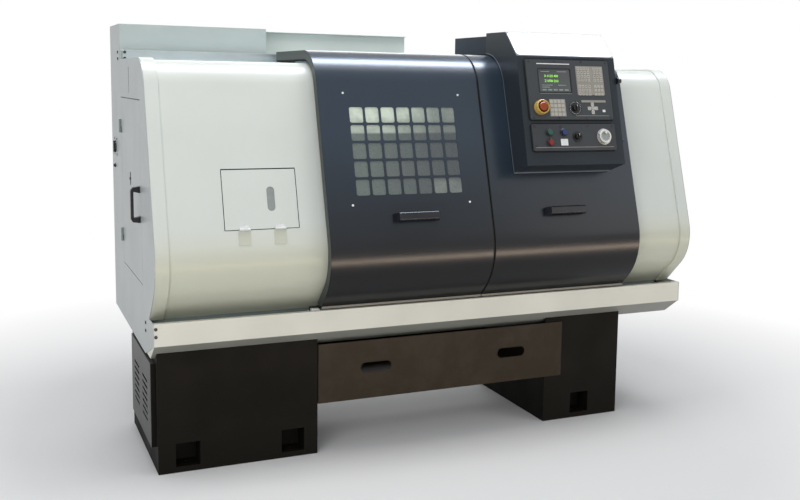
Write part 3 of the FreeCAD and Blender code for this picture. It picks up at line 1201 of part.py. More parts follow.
def door_sill():
    """Folded sill below the covers: skirt, shelf and the lip that guides the doors."""
    x0 = PLATE + PAN_SHEET
    x1 = SILL_RIGHT_X
    skirt = box(x0, x1, SILL_Y, SILL_Y + PLATE, PAN_FLOOR_Z + PAN_SHEET, SILL_TOP_Z)
    shelf = box(x0, x1, SILL_SHELF_Y, SILL_Y, SILL_SHELF_Z, SILL_SHELF_Z + PLATE)
    lip = box(x0, x1, SILL_SHELF_Y, SILL_SHELF_Y + PLATE, SILL_SHELF_Z, SILL_SHELF_Z + PLATE + SILL_LIP)
    return join([skirt, shelf, lip])


# ================================================================ sliding doors
def door_shell(x0, x1, guide_xs):
    """Curved door: skin, two side flanges, foot hem with guide shoes, roof flange with glides."""
    skin = curved_sheet(DOOR_PROUD, DOOR_PROUD - SHEET, DOOR_ROOF_REAR_Y, DOOR_FOOT_Z, x0, x1)
    pieces = [skin]
    for side in (x0, x1 - SHEET):
        pieces.append(curved_sheet(DOOR_PROUD, DOOR_PROUD - DOOR_FLANGE, DOOR_ROOF_REAR_Y, DOOR_FOOT_Z, side, side + SHEET))
    foot_y = outline_corners(DOOR_PROUD, DOOR_ROOF_REAR_Y, DOOR_FOOT_Z)[-1][0]
    shoe_top = DOOR_FOOT_Z - DOOR_HEM
    shoe_rear = SILL_SHELF_Y + 20
    pieces.append(box(x0, x1, foot_y, foot_y + 4, shoe_top, DOOR_FOOT_Z))
    pieces.append(box(x0, x1, foot_y, shoe_rear, shoe_top, shoe_top + SHEET))
    roof_z = COVER_TOP_Z + DOOR_PROUD
    pieces.append(box(x0, x1, DOOR_ROOF_REAR_Y - SHEET, DOOR_ROOF_REAR_Y, roof_z - DOOR_REAR_FLANGE, roof_z))
    for gx in guide_xs:
        shoe = box(gx, gx + 40, SILL_SHELF_Y - 14, shoe_rear, SILL_SHELF_Z + PLATE + RUN_GAP, shoe_top)
        groove = box(gx - 1, gx + 41, SILL_SHELF_Y - RUN_GAP, SILL_SHELF_Y + PLATE + RUN_GAP,
                     SILL_SHELF_Z, SILL_SHELF_Z + PLATE + SILL_LIP + RUN_GAP)
        pieces.append(shoe.cut(groove))
    for gx in (x0 + 30, x1 - 90):
        pieces.append(box(gx, gx + 60, DOOR_ROOF_REAR_Y, RAIL_Y - RUN_GAP - 2, COVER_TOP_Z + PLATE + RUN_GAP,
                          roof_z - DOOR_REAR_FLANGE + 24))
    return join(pieces)


def window_cutter():
    """The grid of rounded-square openings, in the door's local frame."""
    cells = []
    for column in range(WINDOW_COLUMNS):
        for row in range(WINDOW_ROWS):
            cell = rounded_rect(WINDOW_CELL_W, WINDOW_CELL_H, WINDOW_CELL_R, 30, -15)
            cell.translate(V((column - (WINDOW_COLUMNS - 1) / 2.0) * WINDOW_PITCH_X,
                             (row - (WINDOW_ROWS - 1) / 2.0) * WINDOW_PITCH_Y, 0))
            cells.append(cell)
    return Part.makeCompound(cells)


def left_door():
    """Left sliding door with its window grid."""
    right = DOOR_SEAM_X - DOOR_SEAM_GAP / 2.0
    shell = door_shell(LEFT_DOOR_X, right, (LEFT_DOOR_X - 34, right - 60))
    return shell.cut(placed(window_cutter(), on_front(WINDOW_X, WINDOW_Z, DOOR_PROUD)))


def right_door():
    """Right sliding door, which runs below the hanging console."""
    left = DOOR_SEAM_X + DOOR_SEAM_GAP / 2.0
    return door_shell(left, RIGHT_DOOR_X, (left + 20, RIGHT_DOOR_X - 90))


def door_window():
    """Safety pane behind the window grid."""
    width = WINDOW_COLUMNS * WINDOW_PITCH_X + 2 * WINDOW_MARGIN - 20
    height = WINDOW_ROWS * WINDOW_PITCH_Y + 2 * WINDOW_MARGIN - 20
    pane = rounded_rect(width, height, WINDOW_MARGIN / 2.0, WINDOW_PANE, -WINDOW_PANE - SHEET)
    return placed(pane, on_front(WINDOW_X, WINDOW_Z, DOOR_PROUD))


def door_handle(x):
    """Moulded bow handle: a straight grip on two leaning feet, with its outer edges rounded."""
    half = HANDLE_LENGTH / 2.0
    gap = HANDLE_STANDOFF - HANDLE_GRIP
    inner = half - HANDLE_FOOT
    side = [(half, 0), (half, HANDLE_TOE), (half - HANDLE_SHOULDER, HANDLE_STANDOFF)]
    hollow = [(-inner, 0), (-inner + HANDLE_TOE / 2.0, gap), (inner - HANDLE_TOE / 2.0, gap), (inner, 0)]
    outline = hollow + side + [(-across, out) for across, out in reversed(side)]
    ring = [V(across, -HANDLE_WIDTH / 2.0, out) for across, out in outline]
    ring.append(ring[0])
    bow = Part.Face(Part.makePolygon(ring)).extrude(V(0, HANDLE_WIDTH, 0))
    grip_edges = []
    for edge in bow.Edges:
        low = min(vertex.Z for vertex in edge.Vertexes)
        if low > HANDLE_STANDOFF - 1 and abs(edge.tangentAt(edge.FirstParameter).x) > 0.9:
            grip_edges.append(edge)
    return placed(bow.makeFillet(HANDLE_ROUND, grip_edges), on_front(x, HANDLE_Z, DOOR_PROUD))


# ================================================================ rear of the machine
def electrical_cabinet():
    """Sheet cabinet behind the headstock, open at the back for its door, with drives inside."""
    x0 = PLATE
    x1 = CABINET_WIDTH
    outer = box(x0, x1, CABINET_FRONT_Y, CABINET_REAR_Y, CABINET_BOTTOM_Z, CABINET_TOP_Z)
    wall = PLATE
    m = REAR_DOOR_MARGIN
    inner = box(x0 + wall, x1 - wall, CABINET_FRONT_Y + wall, CABINET_REAR_Y - wall, CABINET_BOTTOM_Z + wall,
                CABINET_TOP_Z - wall)
    mouth = box(x0 + m, x1 - m, CABINET_REAR_Y - 2 * wall, CABINET_REAR_Y + 1, CABINET_BOTTOM_Z + m, CABINET_TOP_Z - m)
    shape = outer.cut(inner).cut(mouth)
    back = CABINET_FRONT_Y + wall
    pieces = [shape, box(x0 + 50, x1 - 50, back, back + 12, CABINET_BOTTOM_Z + 60, CABINET_TOP_Z - 60)]
    for row, z in enumerate((1450.0, 1130.0, 820.0)):
        for column in range(3 - row % 2):
            left = x0 + 90 + column * 170
            pieces.append(box(left, left + 120, back + 12, back + 150, z, z + 210))
    rear_z = (CABINET_BOTTOM_Z + 220, CABINET_TOP_Z - 220)
    for z in rear_z:
        pieces.append(rear_knuckle(z - KNUCKLE_LENGTH, z))
        pieces.append(box(CABINET_WIDTH - 14, CABINET_WIDTH, CABINET_REAR_Y - 1, CABINET_REAR_Y + 1.5,
                          z - KNUCKLE_LENGTH, z))
    return join(pieces)


def rear_hinge_x():
    """X of the cabinet door's hinge line."""
    return CABINET_WIDTH - 12


def rear_knuckle(z0, z1):
    """Round knuckle of the cabinet door's hinge."""
    return post(rear_hinge_x(), CABINET_REAR_Y + KNUCKLE_R, z0, z1, KNUCKLE_R)


def cabinet_door():
    """Folded rear door of the cabinet, overlapping its mouth."""
    x0 = PLATE + 8
    x1 = CABINET_WIDTH - 19
    y0 = CABINET_REAR_Y + RUN_GAP
    y1 = y0 + REAR_DOOR_THICK
    z0 = CABINET_BOTTOM_Z + 8
    z1 = CABINET_TOP_Z - 8
    shape = box(x0, x1, y0, y1, z0, z1)
    shape = shape.cut(box(x0 + SHEET, x1 - SHEET, y0 - 1, y1 - SHEET, z0 + SHEET, z1 - SHEET))
    pieces = [shape]
    for z in (CABINET_BOTTOM_Z + 220, CABINET_TOP_Z - 220):
        start = z + RUN_GAP
        pieces.append(rear_knuckle(start, start + KNUCKLE_LENGTH))
        pieces.append(box(x1 - SHEET, rear_hinge_x(), y0 + 3, y0 + 6, start, start + KNUCKLE_LENGTH))
    latch_x = x0 + 45
    latch_z = (z0 + z1) / 2.0
    hole = Part.makeCylinder(LATCH_R * 0.5 + FIT_GAP, 40, V(latch_x, y0 - 2, latch_z), V(0, 1, 0))
    return join(pieces).cut(hole)


def cabinet_latch():
    """Swing latch of the cabinet door: round boss, wing grip, stem and cam."""
    x = PLATE + 8 + 45
    y1 = CABINET_REAR_Y + RUN_GAP + REAR_DOOR_THICK
    z = (CABINET_BOTTOM_Z + CABINET_TOP_Z) / 2.0
    stem = Part.makeCylinder(LATCH_R * 0.5, REAR_DOOR_THICK + 2, V(x, y1 - REAR_DOOR_THICK + 4, z), V(0, 1, 0))
    boss = Part.makeCylinder(LATCH_R, 6, V(x, y1 + RUN_GAP, z), V(0, 1, 0))
    wing = box(x - 5, x + 5, y1 + 6, y1 + 20, z - 34, z + 12)
    return join([stem, boss, wing])


def main_switch_knob():
    """Rotary main switch on the cabinet's side."""
    face = -SWITCH_SEAT - RUN_GAP - SWITCH_DISC
    knob = Part.makeCylinder(SWITCH_KNOB_R, SWITCH_DISC, V(face, SWITCH_Y, SWITCH_Z), V(1, 0, 0))
    half = SWITCH_GRIP_WIDTH / 2.0
    reach = SWITCH_KNOB_R - 2
    grip = box(face - SWITCH_GRIP, face + 1, SWITCH_Y - half, SWITCH_Y + half, SWITCH_Z - reach, SWITCH_Z + reach)
    return join([knob, grip])


def rear_guard():
    """Rear splash guard, taller beside the cabinet, with the flat roof between it and the rail."""
    x0 = CABINET_WIDTH
    x1 = PAN_LENGTH - PLATE
    top = CABINET_TOP_Z - 6
    foot = [(PAN_DEPTH, PAN_FRONT_TOP - 30), (PAN_DEPTH + PLATE, PAN_FRONT_TOP - 30),
            (PAN_DEPTH + PLATE, PAN_FRONT_TOP), (REAR_GUARD_Y, REAR_GUARD_SLOPE_Z), (REAR_GUARD_Y, top),
            (REAR_GUARD_Y - 24, top), (REAR_GUARD_Y - 24, top - PLATE), (REAR_GUARD_Y - PLATE, top - PLATE),
            (REAR_GUARD_Y - PLATE, REAR_GUARD_SLOPE_Z + 1), (PAN_DEPTH, PAN_FRONT_TOP + 1)]
    shape = extrude_x(foot, x0, x1)
    back = RAIL_Y + RAIL_DEPTH
    roof = box(x0, x1, back, REAR_GUARD_Y - 1, COVER_TOP_Z - PLATE, COVER_TOP_Z)
    step = box(PLATE, x0 + 1, back, CABINET_FRONT_Y, COVER_TOP_Z - PLATE, COVER_TOP_Z)
    low = box(REAR_GUARD_RIGHT_X, x1 + 1, REAR_GUARD_Y - 200, REAR_GUARD_Y + 1, COVER_TOP_Z, top + 1)
    return join([shape.cut(low), roof, step])


# ================================================================ hanging console
def console_outline(inset):
    """Corners of the console's side, moved inwards: underside, face, hood and a far inner corner."""
    foot_y = slope_y(CONSOLE_UNDER_Z, DOOR_PROUD + CONSOLE_DOOR_GAP)
    rise = (CONSOLE_BOTTOM_Z - CONSOLE_UNDER_Z) / (foot_y - CONSOLE_BOTTOM_Y)
    inner_z = CONSOLE_BOTTOM_Z - rise * (HOOD_REAR_Y - CONSOLE_BOTTOM_Y)
    corners = [(HOOD_REAR_Y, inner_z), (HOOD_REAR_Y, HOOD_TOP_Z), (HOOD_FRONT_Y, HOOD_TOP_Z),
               (CONSOLE_TOP_Y, CONSOLE_TOP_Z), (CONSOLE_BOTTOM_Y, CONSOLE_BOTTOM_Z)]
    sides = [shifted_line(start, stop, -inset) for start, stop in zip(corners, corners[1:] + corners[:1])]
    return [crossing(sides[index - 1], sides[index]) for index in range(len(sides))]


def console_block(inset, x0, x1):
    """Solid console outline whose back follows the doors with a gap."""
    gap = DOOR_PROUD + CONSOLE_DOOR_GAP + inset
    doors = curved_block(gap, RAIL_Y, COVER_FOOT_Z, x0 - 1, x1 + 1)
    return extrude_x(console_outline(inset), x0, x1).cut(doors)


def console_housing():
    """Sheet console housing, open at its face for the panels and at the back for the arm."""
    x0 = CONSOLE_LEFT_X
    x1 = x0 + CONSOLE_WIDTH
    t = CONSOLE_SHEET
    shell = console_block(0.0, x0, x1).cut(console_block(t, x0 + t, x1 - t))
    mouth_height = SWITCH_PANEL_TOP + SWITCH_PANEL_HEIGHT - PANEL_TOP - 2 * 12
    mouth = Part.makeBox(PANEL_WIDTH - 24, mouth_height, 40, V(PANEL_LEFT + 12, -mouth_height - PANEL_TOP - 12, -20))
    bridge = Part.makeBox(PANEL_WIDTH, SWITCH_PANEL_TOP - PANEL_TOP - PANEL_HEIGHT + 24, t,
                          V(PANEL_LEFT, -SWITCH_PANEL_TOP - 12, -t))
    spot = on_console((0, 0))
    shell = shell.cut(placed(mouth, spot))
    arm_hole = box(ARM_LEFT_X - FIT_GAP, ARM_LEFT_X + ARM_WIDTH + FIT_GAP, HOOD_REAR_Y - 10, HOOD_REAR_Y + 2,
                   ARM_TOP_Z - 86, ARM_TOP_Z + FIT_GAP)
    return join([shell.cut(arm_hole), placed(bridge, spot)])


def console_arm():
    """Box-section arm over the doors, from the console back to the top rail."""
    z1 = ARM_TOP_Z
    z0 = COVER_TOP_Z + DOOR_PROUD + CONSOLE_DOOR_GAP
    beam = box(ARM_LEFT_X, ARM_LEFT_X + ARM_WIDTH, HOOD_REAR_Y - 60, ARM_REAR_Y, z0 + 3, z1)
    beam = beam.cut(box(ARM_LEFT_X + PLATE, ARM_LEFT_X + ARM_WIDTH - PLATE, HOOD_REAR_Y - 61, ARM_REAR_Y - PLATE,
                        z0 + 3 + PLATE, z1 - PLATE))
    foot = box(ARM_LEFT_X - 20, ARM_LEFT_X + ARM_WIDTH + 20, RAIL_Y, RAIL_Y + RAIL_DEPTH, COVER_TOP_Z + RAIL_HEIGHT, z0 + 3)
    return join([beam, foot])


def panel_plate(top, height, holes):
    """Panel plate on the console's face, with holes for its controls."""
    plate = rounded_rect(PANEL_WIDTH, height, PANEL_CORNER_R, PANEL_THICK)
    plate = placed(plate, on_console((PANEL_LEFT + PANEL_WIDTH / 2.0, top + height / 2.0)))
    for at, radius in holes:
        plate = plate.cut(placed(Part.makeCylinder(radius, 60, V(0, 0, -30)), on_console(at)))
    return plate


def control_panel():
    """Upper panel with the screen's recess and holes for its dial and emergency stop."""
    plate = panel_plate(PANEL_TOP, PANEL_HEIGHT, ((ESTOP_AT, 11 + FIT_GAP), (DIAL_AT, 4 + FIT_GAP)))
    width, height = SCREEN_SIZE
    recess = rounded_rect(width, height, 4, 20, PANEL_THICK - 4)
    return plate.cut(placed(recess, on_console(SCREEN_AT)))


def control_screen():
    """Display pane in the upper panel's recess."""
    width, height = SCREEN_SIZE
    pane = rounded_rect(width - 2, height - 2, 3, 2.5, PANEL_THICK - 4)
    return placed(pane, on_console(SCREEN_AT))


def key_block(at, columns, rows, pitch=KEY_PITCH, size=KEY_SIZE):
    """Rectangular field of raised keys, from its upper left corner."""
    right, down = at
    keys = []
    for column in range(columns):
        for row in range(rows):
            corner = V(right + column * pitch, -down - row * pitch - size, PANEL_THICK)
            keys.append(Part.makeBox(size, size, KEY_HEIGHT, corner))
    return keys


def control_keys():
    """Raised keys of the upper panel: four entry fields, the mode keys and the jog cross."""
    keys = key_block(EDIT_KEYS_AT, 4, 4) + key_block(DATA_KEYS_AT, 3, 4)
    keys += key_block(PAGE_KEYS_AT, 4, 3) + key_block(NUMBER_KEYS_AT, 3, 3)
    keys += key_block(MODE_KEYS_AT, 4, 4, MODE_KEY_PITCH, MODE_KEY_SIZE)
    half = MODE_KEY_SIZE / 2.0
    for column, row in ((0, 0), (0, -1), (0, 1), (-1, 0), (1, 0)):
        at = (JOG_AT[0] + column * MODE_KEY_PITCH - half, JOG_AT[1] + row * MODE_KEY_PITCH - half)
        keys += key_block(at, 1, 1, MODE_KEY_PITCH, MODE_KEY_SIZE)
    return placed(Part.makeCompound(keys), on_console((0, 0)))


def switch_panel():
    """Lower panel with the push buttons, the mode switch and the pulse wheel."""
    holes = ((GREEN_AT, 7 + FIT_GAP), (RED_AT, 7 + FIT_GAP), (BLUE_AT, 7 + FIT_GAP), (MODE_AT, 5 + FIT_GAP),
             (PULSE_AT, 8 + FIT_GAP))
    return panel_plate(SWITCH_PANEL_TOP, SWITCH_PANEL_HEIGHT, holes)


def push_button(at):
    """Round push button: cap and stem."""
    cap = Part.makeCylinder(BUTTON_R, BUTTON_PROUD, V(0, 0, PANEL_THICK + 5))
    stem = Part.makeCylinder(7, PANEL_THICK + 6, V(0, 0, 0))
    return placed(join([cap, stem]), on_console(at))


def emergency_stop():
    """Mushroom-headed emergency stop."""
    head = Part.makeCylinder(ESTOP_R, 12, V(0, 0, PANEL_THICK + 18))
    crown = Part.makeCone(ESTOP_R, ESTOP_R * 0.7, 5, V(0, 0, PANEL_THICK + 30))
    stem = Part.makeCylinder(11, PANEL_THICK + 19, V(0, 0, 0))
    return placed(join([head, crown, stem]), on_console(ESTOP_AT))


def turning_knob(at, radius, height, shaft):
    """Rotary knob with a pointer rib and a shaft."""
    skirt = Part.makeCylinder(radius, height, V(0, 0, PANEL_THICK + RUN_GAP))
    rib = Part.makeBox(5, 2 * radius - 4, 7, V(-2.5, -radius + 2, PANEL_THICK + height - 1))
    stem = Part.makeCylinder(shaft, PANEL_THICK + 2, V(0, 0, 0))
    return placed(join([skirt, rib, stem]), on_console(at))


def pulse_wheel():
    """Manual pulse wheel with a dished face and a finger knob."""
    base = PANEL_THICK + RUN_GAP
    rim = Part.makeCylinder(PULSE_R, 14, V(0, 0, base))
    dish = Part.makeCylinder(PULSE_R - 8, 5, V(0, 0, base + 9))
    finger = Part.makeCylinder(5, 16, V(0, PULSE_R - 16, base + 8))
    stem = Part.makeCylinder(8, PANEL_THICK + 2, V(0, 0, 0))
    return placed(join([rim.cut(dish), finger, stem]), on_console(PULSE_AT))


# ================================================================ the whole machine
def build_parts():
    """Every sub-part by name, still in the modelling frame."""
    parts = {
        "left_pedestal": left_pedestal(),
        "right_pedestal": right_pedestal(),
        "pedestal_vent": pedestal_vent(),
        "chip_pan": chip_pan(),
        "swarf_tray": swarf_tray(),
        "bed": bed(),
        "headstock": headstock(),
        "spindle": spindle(),
        "spindle_pulley": spindle_pulley(),
        "spindle_motor": spindle_motor(),
        "motor_pulley": motor_pulley(),
        "drive_belt": drive_belt(),
        "chuck_body": chuck_body(),
        "feed_screw": feed_screw(),
        "feed_motor": feed_motor(),
        "saddle": saddle(),
        "cross_motor": cross_motor(),
        "cross_slide": cross_slide(),
        "turret_base": turret_base(),
        "tool_turret": tool_turret(),
        "turning_tools": turning_tools(),
        "tailstock": tailstock(),
        "quill": quill(),
        "centre_point": centre_point(),
        "tailstock_handwheel": tailstock_handwheel(),
        "left_end_plate": left_end_plate(),
        "right_end_plate": right_end_plate(),
        "side_door": side_door(),
        "side_door_handle": side_door_handle(),
        "left_cover": left_cover(),
        "cover_flap": cover_flap(),
        "right_cover": right_cover(),
        "top_rail": top_rail(),
        "door_sill": door_sill(),
        "left_door": left_door(),
        "right_door": right_door(),
        "door_window": door_window(),
        "left_door_handle": door_handle(LEFT_HANDLE_X),
        "right_door_handle": door_handle(RIGHT_HANDLE_X),
        "electrical_cabinet": electrical_cabinet(),
        "cabinet_door": cabinet_door(),
        "cabinet_latch": cabinet_latch(),
        "main_switch_knob": main_switch_knob(),
        "rear_guard": rear_guard(),
        "console_housing": console_housing(),
        "console_arm": console_arm(),
        "control_panel": control_panel(),
        "control_screen": control_screen(),
        "control_keys": control_keys(),
        "switch_panel": switch_panel(),
        "emergency_stop": emergency_stop(),
        "feed_dial": turning_knob(DIAL_AT, DIAL_R, 12, 4),
        "green_button": push_button(GREEN_AT),
        "red_button": push_button(RED_AT),
        "blue_button": push_button(BLUE_AT),
        "mode_switch": turning_knob(MODE_AT, 13, 14, 5),
        "pulse_wheel": pulse_wheel(),
    }
    for index in range(JAW_COUNT):
        parts["chuck_jaw_%d" % (index + 1)] = chuck_jaw(index)
    return parts


def floor_origin(parts):
    """Point on the floor below the middle of the overall box."""
    whole = Part.makeCompound(list(parts.values())).BoundBox
    return V((whole.XMin + whole.XMax) / 2.0, (whole.YMin + whole.YMax) / 2.0, 0)


PARTS = build_parts()
ORIGIN = floor_origin(PARTS)


def export_all():
    """Write one STEP file for each sub-part."""
    os.makedirs("parts", exist_ok=True)
    for name, shape in PARTS.items():
        shape.translate(-ORIGIN)
        shape.exportStep(os.path.join("parts", name + ".step"))


if __name__ == "__main__":
    export_all()
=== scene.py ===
"""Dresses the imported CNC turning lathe: finishes, trims, controls, fasteners, light and camera.

Lengths are in millimetres of the machine frame (X from the left end plate, Y from the front of the
chip pan, Z from the floor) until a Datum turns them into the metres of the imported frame.
"""

import json
import logging
import math
from dataclasses import dataclass, field
from enum import Enum
from typing import Iterable, Optional, Sequence

import bmesh
import bpy
from mathutils import Matrix, Vector

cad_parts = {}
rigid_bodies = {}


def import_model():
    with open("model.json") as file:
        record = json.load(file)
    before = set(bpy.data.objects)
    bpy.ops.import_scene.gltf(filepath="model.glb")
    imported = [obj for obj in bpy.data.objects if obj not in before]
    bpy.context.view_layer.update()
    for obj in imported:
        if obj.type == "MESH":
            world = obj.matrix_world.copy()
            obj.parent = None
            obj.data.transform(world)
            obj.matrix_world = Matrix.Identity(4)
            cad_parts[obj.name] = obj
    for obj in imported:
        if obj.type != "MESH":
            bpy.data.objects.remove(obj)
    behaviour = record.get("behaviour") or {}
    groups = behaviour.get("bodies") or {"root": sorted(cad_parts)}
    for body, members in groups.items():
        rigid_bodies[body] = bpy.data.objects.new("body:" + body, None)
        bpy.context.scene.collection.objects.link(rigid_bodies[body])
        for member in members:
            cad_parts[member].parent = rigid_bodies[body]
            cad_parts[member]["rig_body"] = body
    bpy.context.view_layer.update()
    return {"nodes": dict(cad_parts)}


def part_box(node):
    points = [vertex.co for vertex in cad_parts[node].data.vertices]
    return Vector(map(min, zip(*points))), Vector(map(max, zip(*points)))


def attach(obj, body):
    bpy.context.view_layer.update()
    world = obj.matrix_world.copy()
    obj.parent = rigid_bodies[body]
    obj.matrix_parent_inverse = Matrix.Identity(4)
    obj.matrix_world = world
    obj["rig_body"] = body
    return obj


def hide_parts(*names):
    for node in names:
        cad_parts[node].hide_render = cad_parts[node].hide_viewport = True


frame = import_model()

LOG = logging.getLogger("turning_lathe")
MM = 0.001
SMOOTH_ANGLE = math.radians(28)
FLAT_ANGLE = math.radians(0.6)
WELD = 2e-6
# Dark colour mixed into faces that point down: painted shade.
UNDERSIDE_PAINTED_SHADE = "2A2824"
SETTLED_DUST = "8A8476"
Colour = tuple[float, float, float, float]
Point2 = tuple[float, float]


class Body(Enum):
    """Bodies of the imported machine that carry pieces, by their names in the frame."""

    MACHINE = "machine"
    SPINDLE = "spindle"
    JAW_1 = "jaw_1"
    JAW_2 = "jaw_2"
    JAW_3 = "jaw_3"
    MOTOR_SHAFT = "motor_shaft"
    FEED_SCREW = "feed_screw"
    CARRIAGE = "carriage"
    CROSS_SLIDE = "cross_slide"
    TURRET = "turret"
    TAILSTOCK = "tailstock"
    QUILL = "quill"
    TAILSTOCK_WHEEL = "tailstock_wheel"
    TRAY = "swarf_tray"
    FLAP = "cover_flap"
    SIDE_DOOR = "side_door"
    LEFT_DOOR = "left_door"
    RIGHT_DOOR = "right_door"
    CABINET_DOOR = "cabinet_door"
    CABINET_LATCH = "cabinet_latch"
    MAIN_SWITCH = "main_switch"
    EMERGENCY_STOP = "emergency_stop"
    PULSE_WHEEL = "pulse_wheel"
    FEED_DIAL = "feed_dial"
    MODE_SWITCH = "mode_switch"


# ---------------------------------------------------------------------------------------- finishes
def from_srgb(code: str) -> Colour:
    """Turns a display colour into scene-linear light.

    Args:
        code: six hexadecimal digits.

    Returns:
        Red, green, blue and alpha.
    """
    channels = [int(code[i:i + 2], 16) / 255 for i in (0, 2, 4)]
    linear = [c / 12.92 if c <= 0.04045 else ((c + 0.055) / 1.055) ** 2.4 for c in channels]
    return (linear[0], linear[1], linear[2], 1.0)


def scaled(colour: Colour, factor: float) -> Colour:
    """Returns a colour made lighter or darker by a factor."""
    return (min(colour[0] * factor, 1.0), min(colour[1] * factor, 1.0), min(colour[2] * factor, 1.0), 1.0)


class Nodes:
    """Thin helper that adds and links nodes of one material."""

    def __init__(self, name: str) -> None:
        """Starts an empty node material with that name."""
        self.material = bpy.data.materials.new(name)
        self.material.use_nodes = True
        self.tree = self.material.node_tree
        self.shader = self.tree.nodes["Principled BSDF"]

    def add(self, kind: str, **settings: object) -> bpy.types.Node:
        """Adds a node and sets its properties."""
        node = self.tree.nodes.new(kind)
        for key, value in settings.items():
            setattr(node, key, value)
        return node

    def link(self, source: bpy.types.NodeSocket, target: bpy.types.NodeSocket) -> None:
        """Connects two sockets."""
        self.tree.links.new(source, target)

    def place(self, scale: Sequence[float] = (1, 1, 1)) -> bpy.types.NodeSocket:
        """Gives object coordinates, stretched along each axis."""
        coordinates = self.add("ShaderNodeTexCoord")
        mapping = self.add("ShaderNodeMapping")
        mapping.inputs["Scale"].default_value = scale
        self.link(coordinates.outputs["Object"], mapping.inputs["Vector"])
        return mapping.outputs["Vector"]

    def noise(self, place: bpy.types.NodeSocket, scale: float, detail: float = 3.0) -> bpy.types.NodeSocket:
        """Gives a noise value at a number of features per metre."""
        node = self.add("ShaderNodeTexNoise")
        node.inputs["Scale"].default_value = scale
        node.inputs["Detail"].default_value = detail
        self.link(place, node.inputs["Vector"])
        return node.outputs["Fac"]

    def spread(self, value: bpy.types.NodeSocket, low: float, high: float,
               start: float = 0.3, stop: float = 0.7) -> bpy.types.NodeSocket:
        """Maps a noise value from start..stop to low..high."""
        node = self.add("ShaderNodeMapRange")
        for key, number in (("From Min", start), ("From Max", stop), ("To Min", low), ("To Max", high)):
            node.inputs[key].default_value = number
        self.link(value, node.inputs["Value"])
        return node.outputs["Result"]

    def blend(self, share: bpy.types.NodeSocket, first: object, second: object) -> bpy.types.NodeSocket:
        """Mixes two colours, each a constant or a socket, by a share."""
        node = self.add("ShaderNodeMix", data_type="RGBA")
        self.link(share, node.inputs["Factor"])
        for key, colour in (("A", first), ("B", second)):
            socket = [s for s in node.inputs if s.name == key and s.type == "RGBA"][0]
            if isinstance(colour, tuple):
                socket.default_value = colour
            else:
                self.link(colour, socket)
        return [s for s in node.outputs if s.type == "RGBA"][0]

    def combine(self, operation: str, first: bpy.types.NodeSocket,
                second: bpy.types.NodeSocket) -> bpy.types.NodeSocket:
        """Returns two values under one arithmetic operation."""
        node = self.add("ShaderNodeMath", operation=operation)
        self.link(first, node.inputs[0])
        self.link(second, node.inputs[1])
        return node.outputs[0]

    def axis(self, vector: bpy.types.NodeSocket, name: str) -> bpy.types.NodeSocket:
        """Returns one part of a vector: X, Y or Z."""
        split = self.add("ShaderNodeSeparateXYZ")
        self.link(vector, split.inputs["Vector"])
        return split.outputs[name]

    def feed(self, label: str, value: object) -> None:
        """Gives one of the shader's inputs a socket's value or a constant."""
        socket = self.shader.inputs[label]
        if isinstance(value, bpy.types.NodeSocket):
            self.link(value, socket)
        else:
            socket.default_value = value

    def relief(self, height: bpy.types.NodeSocket, strength: float, depth: float) -> None:
        """Feeds a height into the shader's normal, depth in metres."""
        node = self.add("ShaderNodeBump")
        node.inputs["Strength"].default_value = strength
        node.inputs["Distance"].default_value = depth
        self.link(height, node.inputs["Height"])
        self.feed("Normal", node.outputs["Normal"])


@dataclass(frozen=True)
class Finish:
    """A surface finish: its name, the record's slot it belongs to, and its display colour."""

    name: str
    slot: str
    code: str
    gloss: float = field(default=0.5, kw_only=True)

    def colour(self) -> Colour:
        """Returns the finish's colour in linear light."""
        return from_srgb(self.code)

    def build(self, nodes: Nodes) -> None:
        """Fills in the shader. Each kind of finish has its own."""
        nodes.feed("Base Color", self.colour())

    def material(self) -> bpy.types.Material:
        """Returns the material, made the first time it is asked for."""
        title = self.name + "_finish"
        known = bpy.data.materials.get(title)
        if known is not None:
            return known
        nodes = Nodes(title)
        nodes.feed("Specular IOR Level", self.gloss)
        self.build(nodes)
        return nodes.material


@dataclass(frozen=True)
class Enamel(Finish):
    """Sprayed machine enamel with orange peel, slight mottling, random dust, painted shade low down and
    painted shade on faces that point down.
    """

    roughness: float = 0.3
    coat: float = 0.3
    peel: float = 0.04
    mottle: float = 0.06
    dust: float = 0.0
    # Painted shade: a colour that the enamel turns towards below tint_top, most of all below tint_foot.
    low_painted_shade: str = ""
    # Share of that dark colour on faces that point down: painted shade.
    under: float = 0.0
    tint_foot: float = 0.86
    tint_top: float = 1.0

    def build(self, nodes: Nodes) -> None:
        """Mixes the mottled colour, its painted shade low down, the painted shade on faces that point down,
        the dust and the orange peel.
        """
        place = nodes.place()
        cloud = nodes.spread(nodes.noise(place, 3.5, 4.0), 0.0, 1.0)
        base = nodes.blend(cloud, scaled(self.colour(), 1 - self.mottle),
                           scaled(self.colour(), 1 + self.mottle))
        # Painted shade low down: the colour blends towards the given low colour from tint_top down to
        # tint_foot.
        if self.low_painted_shade:
            share = nodes.spread(nodes.axis(place, "Z"), 0.9, 0.0, self.tint_foot, self.tint_top)
            base = nodes.blend(share, base, from_srgb(self.low_painted_shade))
        # Painted shade: faces that point down are mixed towards a dark colour.
        if self.under:
            normal = nodes.add("ShaderNodeNewGeometry").outputs["Normal"]
            share = nodes.spread(nodes.axis(normal, "Z"), self.under, 0.0, -0.6, -0.1)
            base = nodes.blend(share, base, from_srgb(UNDERSIDE_PAINTED_SHADE))
        if self.dust:
            grime = nodes.spread(nodes.noise(place, 14.0, 6.0), 0.0, self.dust, 0.45, 0.75)
            base = nodes.blend(grime, base, from_srgb(SETTLED_DUST))
        nodes.feed("Base Color", base)
        haze = nodes.noise(place, 5.0, 2.0)
        nodes.feed("Roughness", nodes.spread(haze, self.roughness * 0.94, self.roughness * 1.08, 0.2, 0.8))
        nodes.feed("Coat Weight", self.coat)
        nodes.feed("Coat Roughness", 0.12)
        nodes.relief(nodes.noise(place, 420.0, 2.0), self.peel, 0.0006)


